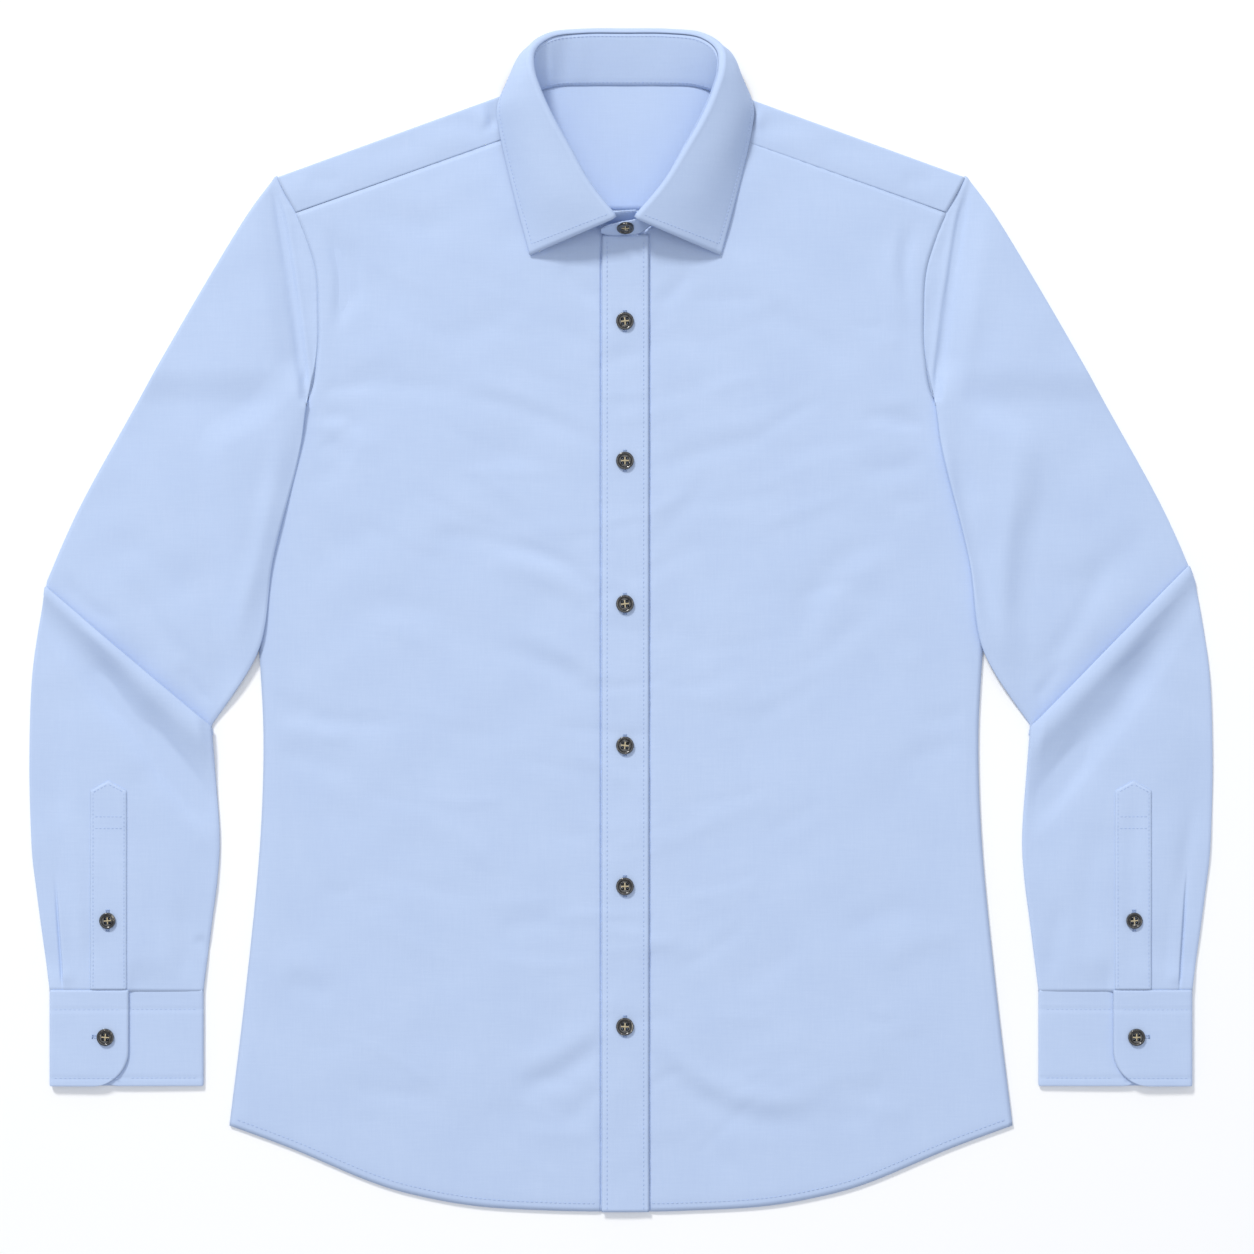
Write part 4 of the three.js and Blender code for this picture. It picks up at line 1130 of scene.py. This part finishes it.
def collar_leaf_grid():
    """Middle surface of the leaf and its outward normals, station by station."""
    table = full_round(COLLAR[:-1] + [LEAF_FRONT])
    table[len(COLLAR) - 1:, 3] += ROLL_SHIFT
    steps = 12
    base, roll, edge = (stations(table[:, k:k + 3], steps) for k in (0, 3, 6))
    crown = stations(table[:, 9:10], steps)[:, 0]
    up = unit(roll - base)
    run = unit(np.gradient(roll, axis=0))
    out = unit(np.cross(up, run))
    start = roll - up * LEAF_RISE
    centre = start + out * ROLL_R
    reach = edge - centre
    a, b = (reach * up).sum(1), (reach * out).sum(1)
    turn = np.mod(np.arctan2(b, a), 2 * math.pi) + np.arcsin(ROLL_R / np.hypot(a, b))
    columns, normals = [], []
    for f in np.linspace(0, 1, 12):
        normal = up * np.sin(turn * f)[:, None] - out * np.cos(turn * f)[:, None]
        columns.append(centre + normal * ROLL_R)
        normals.append(normal)
    end, normal = columns[-1], normals[-1]
    length = np.linalg.norm(edge - end, axis=1)
    falls = np.r_[np.linspace(0, 0.86, 22)[1:], np.linspace(0.86, 1, 12)[1:]]
    for f in falls:
        swell = (crown + 0.35 * np.sin(np.arange(len(base)) / 7.0)) * math.sin(math.pi * f)
        groove = 0.12 * bell((1 - f) * length - LEAF_STITCH_IN, 1.1)
        columns.append(mix(end, edge, f) + normal * (swell - groove)[:, None])
        normals.append(normal)
    return np.stack(columns, 1) + (NECK_X, 0, 0), np.stack(normals, 1), length, falls


def collar_leaf_shell():
    """The leaf, with its middle surface, normals and half thickness for the stitches on it."""
    middle, normal, length, falls = collar_leaf_grid()
    from_edge = np.full(middle.shape[:2], 99.0)
    from_edge[:, -len(falls):] = (1 - falls)[None] * length[:, None]
    for front in (middle[:1], middle[-1:]):
        from_edge = np.minimum(from_edge, np.linalg.norm(middle - front, axis=2))
    half = (STIFF / 2) * (0.4 + 0.6 * ease(0, 0.9, from_edge))
    return thick_wall("collar_leaf_shell", middle, normal, half), middle, normal, half


leaf_piece, leaf_middle, leaf_normal, leaf_half = collar_leaf_shell()
finish_cloth(leaf_piece, ["collar_leaf"], (0.42, 0.068),
             area=0.019)

# %% [markdown]
# Sewing is what tells a shirt from a drawing of one. A stitch is a short thread with tapered
# ends. All stitches of a seam share one form and one mesh, each turned along its seam and sunk
# partly into the cloth.

# %% Stitches
STITCH_MM = 2.3
STITCH_PITCH_MM = 3.2
THREAD_R_MM = 0.26
# Stitches on the collar and the sleeve plackets are finer
FINE = {"length": 1.9, "pitch": 2.7}
SQUARE = ((1, 0), (0, 1), (-1, 0), (0, -1))


def stitch_row(name, paths, normals=None, length=STITCH_MM, radius=THREAD_R_MM, pitch=STITCH_PITCH_MM):
    """One mesh of stitches along paths, each path a row of points with the cloth's normals."""
    points, faces = [], []
    for k, path in enumerate(paths):
        normal = np.tile((0, 0, 1.0), (len(path), 1)) if normals is None else normals[k]
        both = np.hstack([path, normal])
        run = run_along(path)
        at = np.arange(pitch / 2, run[-1] - length / 2, pitch)
        places = (read_off(d, run, both) for d in (at, at - length / 2, at + length / 2))
        for here, behind, ahead in zip(*places):
            up, along = unit(here[3:]), unit(ahead[:3] - behind[:3])
            aside = np.cross(up, along)
            first = len(points)
            tip, sunk = along * length / 2, up * radius * 0.6
            points.append(here[:3] - tip - sunk)
            for f in (-0.28, 0.28):
                ring = here[:3] + along * length * f + up * radius * 0.35
                points.extend(ring + radius * (aside * c + up * s) for c, s in SQUARE)
            points.append(here[:3] + tip - sunk)
            for j in range(4):
                n = (j + 1) % 4
                faces.append((first, first + 1 + n, first + 1 + j))
                faces.append((first + 1 + j, first + 1 + n, first + 5 + n, first + 5 + j))
                faces.append((first + 5 + j, first + 5 + n, first + 9))
    piece = mesh_object(name, points, faces)
    # The thread material's deeper colour is painted shade for the dimples of the stitches
    piece.data.materials.append(thread)
    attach(piece, "root")
    print(name, len(points) // 10)


# Placket: two rows, each a little inside an edge
y = np.linspace(HEM[-1][1] + 1, PLACKET_TOP - 2, 400)
placket_rows = []
for line_x in (PLACKET_X[0] + PLACKET_STITCH_IN, PLACKET_X[1] - PLACKET_STITCH_IN):
    x = np.full_like(y, line_x)
    z = placket_top(x, y) + placket_puckers(x, y) + placket_wave(x, y)
    placket_rows.append(np.stack([x, y, z], -1))
stitch_row("placket_stitches", placket_rows)

# Hem: one row above the curved edge, as far as the placket
HEM_INSET = 5.5
hem_half = spline(HEM, even(240))
tangent = unit(np.gradient(hem_half, axis=0))
hem_half = hem_half + np.stack([-tangent[:, 1], tangent[:, 0]], -1) * HEM_INSET
hem_rows = []
for side, stop in ((-1, PLACKET_X[0] - 1), (1, -PLACKET_X[1] - 1)):
    line = on_side(side, hem_half[hem_half[:, 0] < stop][3:])
    hem_rows.append(lay(line, body_height(*line.T, np.full(len(line), HEM_INSET)) + 0.03))
stitch_row("hem_stitches", hem_rows)

# %% Stitches on the collar and cuffs
def leaf_line(inset, first=2, ends=8, steps=40):
    """Path and normals along the leaf, inside its edge and round both front edges."""
    outer = leaf_middle + leaf_normal * (leaf_half[..., None] + 0.02)
    both = np.concatenate([outer, leaf_normal], axis=2)
    runs = [run_along(row) for row in outer]
    last = len(outer) - 1 - first
    stops = [(first, back) for back in np.linspace(runs[first][-1] - ends, inset, steps)]
    stops += [(row, inset) for row in range(first, last + 1)]
    stops += [(last, back) for back in np.linspace(inset, runs[last][-1] - ends, steps)]
    line = np.array([read_off(runs[row][-1] - back, runs[row], both[row]) for row, back in stops])
    return line[:, :3], line[:, 3:]


leaf_path, leaf_up = leaf_line(LEAF_STITCH_IN)
stitch_row("collar_leaf_stitches", [leaf_path], [leaf_up], **FINE, radius=0.22)
stand_rows, stand_ups = [], []
for column in (1, 16):
    for up in (stand_normal, -stand_normal):
        stand_rows.append(stand_middle[:, column] + up * (STIFF / 2 + 0.03))
        stand_ups.append(up)
stitch_row("collar_stand_stitches", stand_rows, stand_ups, **FINE, radius=0.2)


def cuff_paths(spec):
    """Two rows along the cuff, each broken where its end laps over."""
    lapped = (CUFF["outer"] + 3, CUFF["lap"] - 5, CUFF_LAP_TOP)
    single = (CUFF["lap"] + 1, CUFF["inner"] - 2, CUFF_LAP_TOP - STIFF - SEAM)
    paths = []
    for line_y, dip in ((CUFF["bottom"] + CUFF_STITCH_LOW, 0.36), (CUFF_TOP - CUFF_STITCH_HIGH, 0.4)):
        for start, stop, level in (lapped, single):
            x = np.linspace(start, stop, 60)
            y = np.full_like(x, line_y)
            z = level + cuff_swell(x) + cuff_ripples(x, y) - dip + 0.05
            paths.append(on_side(spec["side"], np.stack([x, y, z], -1)))
    return paths


def sleeve_placket_paths(spec):
    """The outline inside the strip's edge, and the two bars that close the slit."""
    left, right = SLEEVE_PLACKET["left"] + 2, SLEEVE_PLACKET["right"] - 2
    top, foot = SLEEVE_PLACKET["shoulder"] - 1, CUFF_TOP + 2
    point = ((left + right) / 2, SLEEVE_PLACKET["peak"] - 2.4)
    outline = [(left, foot), (left, top), point, (right, top), (right, foot)]
    lines = list(zip(outline, outline[1:]))
    lines += [((left + 1, bar), (right - 1, bar)) for bar in SLEEVE_PLACKET["bars"]]
    paths = []
    for a, b in lines:
        p = np.linspace(a, b, 40)
        z = forearm_top(*p.T, spec) + SLEEVE_PLACKET_RISE + 0.03
        if a[0] == b[0]:
            z = z + puckers(p[:, 1], SEAM_PUCKER)
        paths.append(on_side(spec["side"], lay(p, z)))
    return paths


for word, spec in SLEEVES.items():
    stitch_row(f"cuff_{word}_stitches", cuff_paths(spec), radius=0.23)
    stitch_row(f"sleeve_placket_{word}_stitches", sleeve_placket_paths(spec), **FINE, radius=0.2)

# %% [markdown]
# The buttons are four-hole resin discs with a raised rim and a dished middle. One is modelled
# with the mesh tools: a disc, its top face inset and sunk, its edges rounded, and four holes
# drilled by a boolean. The others are copies, each with its own mesh, placed on the cloth.

# %% Button model
BUTTON_R = 5.8
BUTTON_THICK = 2.4
# Height of the dished middle over the button's underside
DISH_MM = 1.35
HOLE_OUT = 1.55


def top_face(mesh_edit, height):
    """Selects the face on top, above a height."""
    for face in mesh_edit.faces:
        face.select = face.normal.z > 0.9 and face.calc_center_median().z > height
    bmesh.update_edit_mesh(bpy.context.object.data)


def model_button():
    bpy.ops.object.select_all(action="DESELECT")
    bpy.ops.mesh.primitive_cylinder_add(vertices=56, radius=BUTTON_R * MM, depth=BUTTON_THICK * MM,
                                        location=(0, 0, BUTTON_THICK * MM / 2))
    button = bpy.context.object
    bpy.ops.object.transform_apply(location=True)
    bpy.ops.object.mode_set(mode="EDIT")
    bpy.ops.mesh.select_mode(type="FACE")
    bpy.ops.mesh.select_all(action="DESELECT")
    top_face(bmesh.from_edit_mesh(button.data), BUTTON_THICK * MM * 0.9)
    bpy.ops.mesh.inset(thickness=BUTTON_R * 0.24 * MM)
    bpy.ops.mesh.inset(thickness=BUTTON_R * 0.1 * MM, depth=-0.75 * MM)
    bpy.ops.mesh.inset(thickness=BUTTON_R * 0.12 * MM, depth=-0.15 * MM)
    bpy.ops.object.mode_set(mode="OBJECT")
    bevel = button.modifiers.new("round_edges", "BEVEL")
    bevel.width = 0.55 * MM
    bevel.segments = 4
    bevel.angle_limit = math.radians(50)
    bpy.ops.object.modifier_apply(modifier=bevel.name)
    drills = []
    for sx in (-1, 1):
        for sy in (-1, 1):
            # A drilled hole narrows downwards, so its floor mirrors no light upwards
            place = (sx * HOLE_OUT * MM, sy * HOLE_OUT * MM, (DISH_MM + 0.3) / 2 * MM)
            bpy.ops.mesh.primitive_cone_add(vertices=18, radius1=0.15 * MM, radius2=1.06 * MM,
                                            depth=(DISH_MM + 0.1) * MM, location=place)
            drills.append(bpy.context.object)
    for drill in drills:
        bpy.context.view_layer.objects.active = button
        hole = button.modifiers.new("hole", "BOOLEAN")
        hole.operation = "DIFFERENCE"
        hole.object = drill
        hole.solver = "EXACT"
        bpy.ops.object.modifier_apply(modifier=hole.name)
        bpy.data.objects.remove(drill)
    bpy.ops.object.select_all(action="DESELECT")
    button.select_set(True)
    bpy.context.view_layer.objects.active = button
    bpy.ops.object.shade_smooth_by_angle(angle=math.radians(35))
    return button


button_model = model_button()
print("button", len(button_model.data.polygons), "faces")

# %% Thread that holds a button
def model_thread_cross():
    """Two bars of thread over the middle of a button, each two strands side by side."""
    bars = []
    for turn in (0, math.pi / 2):
        for shift in (-0.18, 0.18):
            bpy.ops.object.select_all(action="DESELECT")
            bpy.ops.mesh.primitive_cylinder_add(vertices=8, radius=0.2 * MM, depth=5.2 * MM,
                                                location=(0, 0, 0), rotation=(math.pi / 2, 0, turn))
            bar = bpy.context.object
            bpy.ops.object.transform_apply(location=True, rotation=True)
            bpy.ops.object.mode_set(mode="EDIT")
            bpy.ops.mesh.select_all(action="SELECT")
            bpy.ops.mesh.subdivide(number_cuts=3)
            bpy.ops.object.mode_set(mode="OBJECT")
            for vertex in bar.data.vertices:
                x, y, z = vertex.co
                along = y if turn == 0 else x
                vertex.co.z = z + (0.55 * MM if turn else 0.35 * MM) - 60 * along * along
                if turn == 0:
                    vertex.co.x = x + shift * MM
                else:
                    vertex.co.y = y + shift * MM
            bars.append(bar)
    return join(bars)


cross_model = model_thread_cross()

# %% Place the buttons
def place_copy(model, name, place, material, tilt, turn, scale, node=None):
    """Its own copy of a mesh: scaled, turned about its axis, tilted about X and put in its place."""
    piece = bpy.data.objects.new(name, model.data.copy())
    scene.collection.objects.link(piece)
    piece.data.materials.clear()
    piece.data.materials.append(material)
    c, s = math.cos(turn), math.sin(turn)
    ct, st = math.cos(tilt), math.sin(tilt)
    for vertex in piece.data.vertices:
        x, y, z = (v * scale for v in vertex.co)
        x, y = c * x - s * y, s * x + c * y
        y, z = ct * y - st * z, st * y + ct * z
        vertex.co = (x + place[0] * MM, y + place[1] * MM, z + place[2] * MM)
    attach(piece, "root")
    if node:
        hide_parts(node)
    return piece


FRONT_BUTTON_Y = (203, 108.4, 11.3, -84.7, -180.2, -275.3)
PLACKET_BUTTON = (-348, -203.5)
CUFF_BUTTON = (-349.5, -282.5)
NECK_BUTTON = (BUTTON_X + 0.3, 265.9, 15.0)
NECK_BUTTON_TILT = 1.05
BUTTONS = []
for k, y in enumerate(FRONT_BUTTON_Y):
    z = float(placket_top(BUTTON_X, y)[0]) - 0.2
    BUTTONS.append((f"button_front_{k + 1}", (BUTTON_X, y, z), 0.0, 1.04))
for word, spec in SLEEVES.items():
    out = -spec["side"]
    x, y = PLACKET_BUTTON
    z = float(forearm_top(np.array([x]), np.array([y]), spec)[0]) + 0.6
    BUTTONS.append((f"button_placket_{word}", (out * x, y, z), 0.0, 0.95))
    x, y = CUFF_BUTTON
    BUTTONS.append((f"button_cuff_{word}", (out * x, y, CUFF_LAP_TOP + 0.35), 0.0, 1.0))
BUTTONS.append(("button_neck", NECK_BUTTON, NECK_BUTTON_TILT, 1.0))
draw = np.random.default_rng(4)
for name, place, tilt, scale in BUTTONS:
    turn = 0 if tilt else float(draw.uniform(-0.12, 0.12))
    place_copy(button_model, f"{name}_resin", place, horn, tilt, turn, scale, node=name)
    up = DISH_MM * scale
    thread_place = (place[0], place[1] - math.sin(tilt) * up, place[2] + math.cos(tilt) * up)
    place_copy(cross_model, f"{name}_thread", thread_place, tan_thread, tilt, turn, scale)
bpy.data.objects.remove(button_model)
bpy.data.objects.remove(cross_model)
print("buttons", len(BUTTONS))

# %% [markdown]
# A buttonhole is a slit overcast with close stitches along both sides and a bar at each end. It
# is drawn as two rows of short stitches across the slit, so their ends stand proud of a button.

# %% Buttonholes
HOLE_MM = 13.2
CUFF_HOLE = (-351.4, -282.3)


def buttonhole(centre, along, height_at):
    """Threads across a slit, on both sides of it, and a bar across each end."""
    along = np.array(along, float)
    aside = np.array([-along[1], along[0]])
    rows = []
    for d in np.arange(-HOLE_MM / 2, HOLE_MM / 2 + 0.01, 0.5):
        middle = np.array(centre) + along * d
        rows += [(middle + aside * sign * 0.25, middle + aside * sign * 1.35) for sign in (-1, 1)]
    for end in (-1, 1):
        for shift in (0, 0.35, 0.7):
            middle = np.array(centre) + along * end * (HOLE_MM / 2 + shift)
            rows.append((middle - aside * 1.4, middle + aside * 1.4))
    heights = [float(height_at(*((a + b) / 2))) for a, b in rows]
    return [np.array([(*a, z), (*b, z)]) for (a, b), z in zip(rows, heights)]


def over_forearm(spec):
    return lambda x, y: forearm_top(np.array([x]), np.array([y]), spec)[0] + SLEEVE_PLACKET_RISE + 0.03


hole_paths = []
for y in FRONT_BUTTON_Y:
    hole_paths += buttonhole((BUTTON_X, y), (0, 1), lambda x, y: placket_top(x, y)[0])
for spec in SLEEVES.values():
    paths = buttonhole(PLACKET_BUTTON, (0, 1), over_forearm(spec))
    paths += buttonhole(CUFF_HOLE, (1, 0), lambda x, y: CUFF_LAP_TOP + 0.42)
    hole_paths += [on_side(spec["side"], path) for path in paths]


def short_threads(name, paths, radius=0.2):
    """Each path is one thread, laid on the cloth from end to end."""
    outline = ((1, -0.5), (0.6, 0.8), (-0.6, 0.8), (-1, -0.5))
    up = np.array([0, 0, 1.0])
    points, faces = [], []
    for a, b in paths:
        aside = np.cross(up, unit(b - a))
        first = len(points)
        for end in (a, b):
            points.extend(end + radius * (aside * c + up * s) for c, s in outline)
        for j in range(4):
            n = (j + 1) % 4
            faces.append((first + j, first + n, first + 4 + n, first + 4 + j))
        faces.append((first, first + 3, first + 2, first + 1))
        faces.append((first + 4, first + 5, first + 6, first + 7))
    piece = mesh_object(name, points, faces)
    # The overcast's deeper colour is painted shade for the buttonhole's slit and its close stitches
    piece.data.materials.append(overcast)
    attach(piece, "root")


short_threads("buttonhole_threads", hole_paths)
print("buttonhole threads", len(hole_paths))
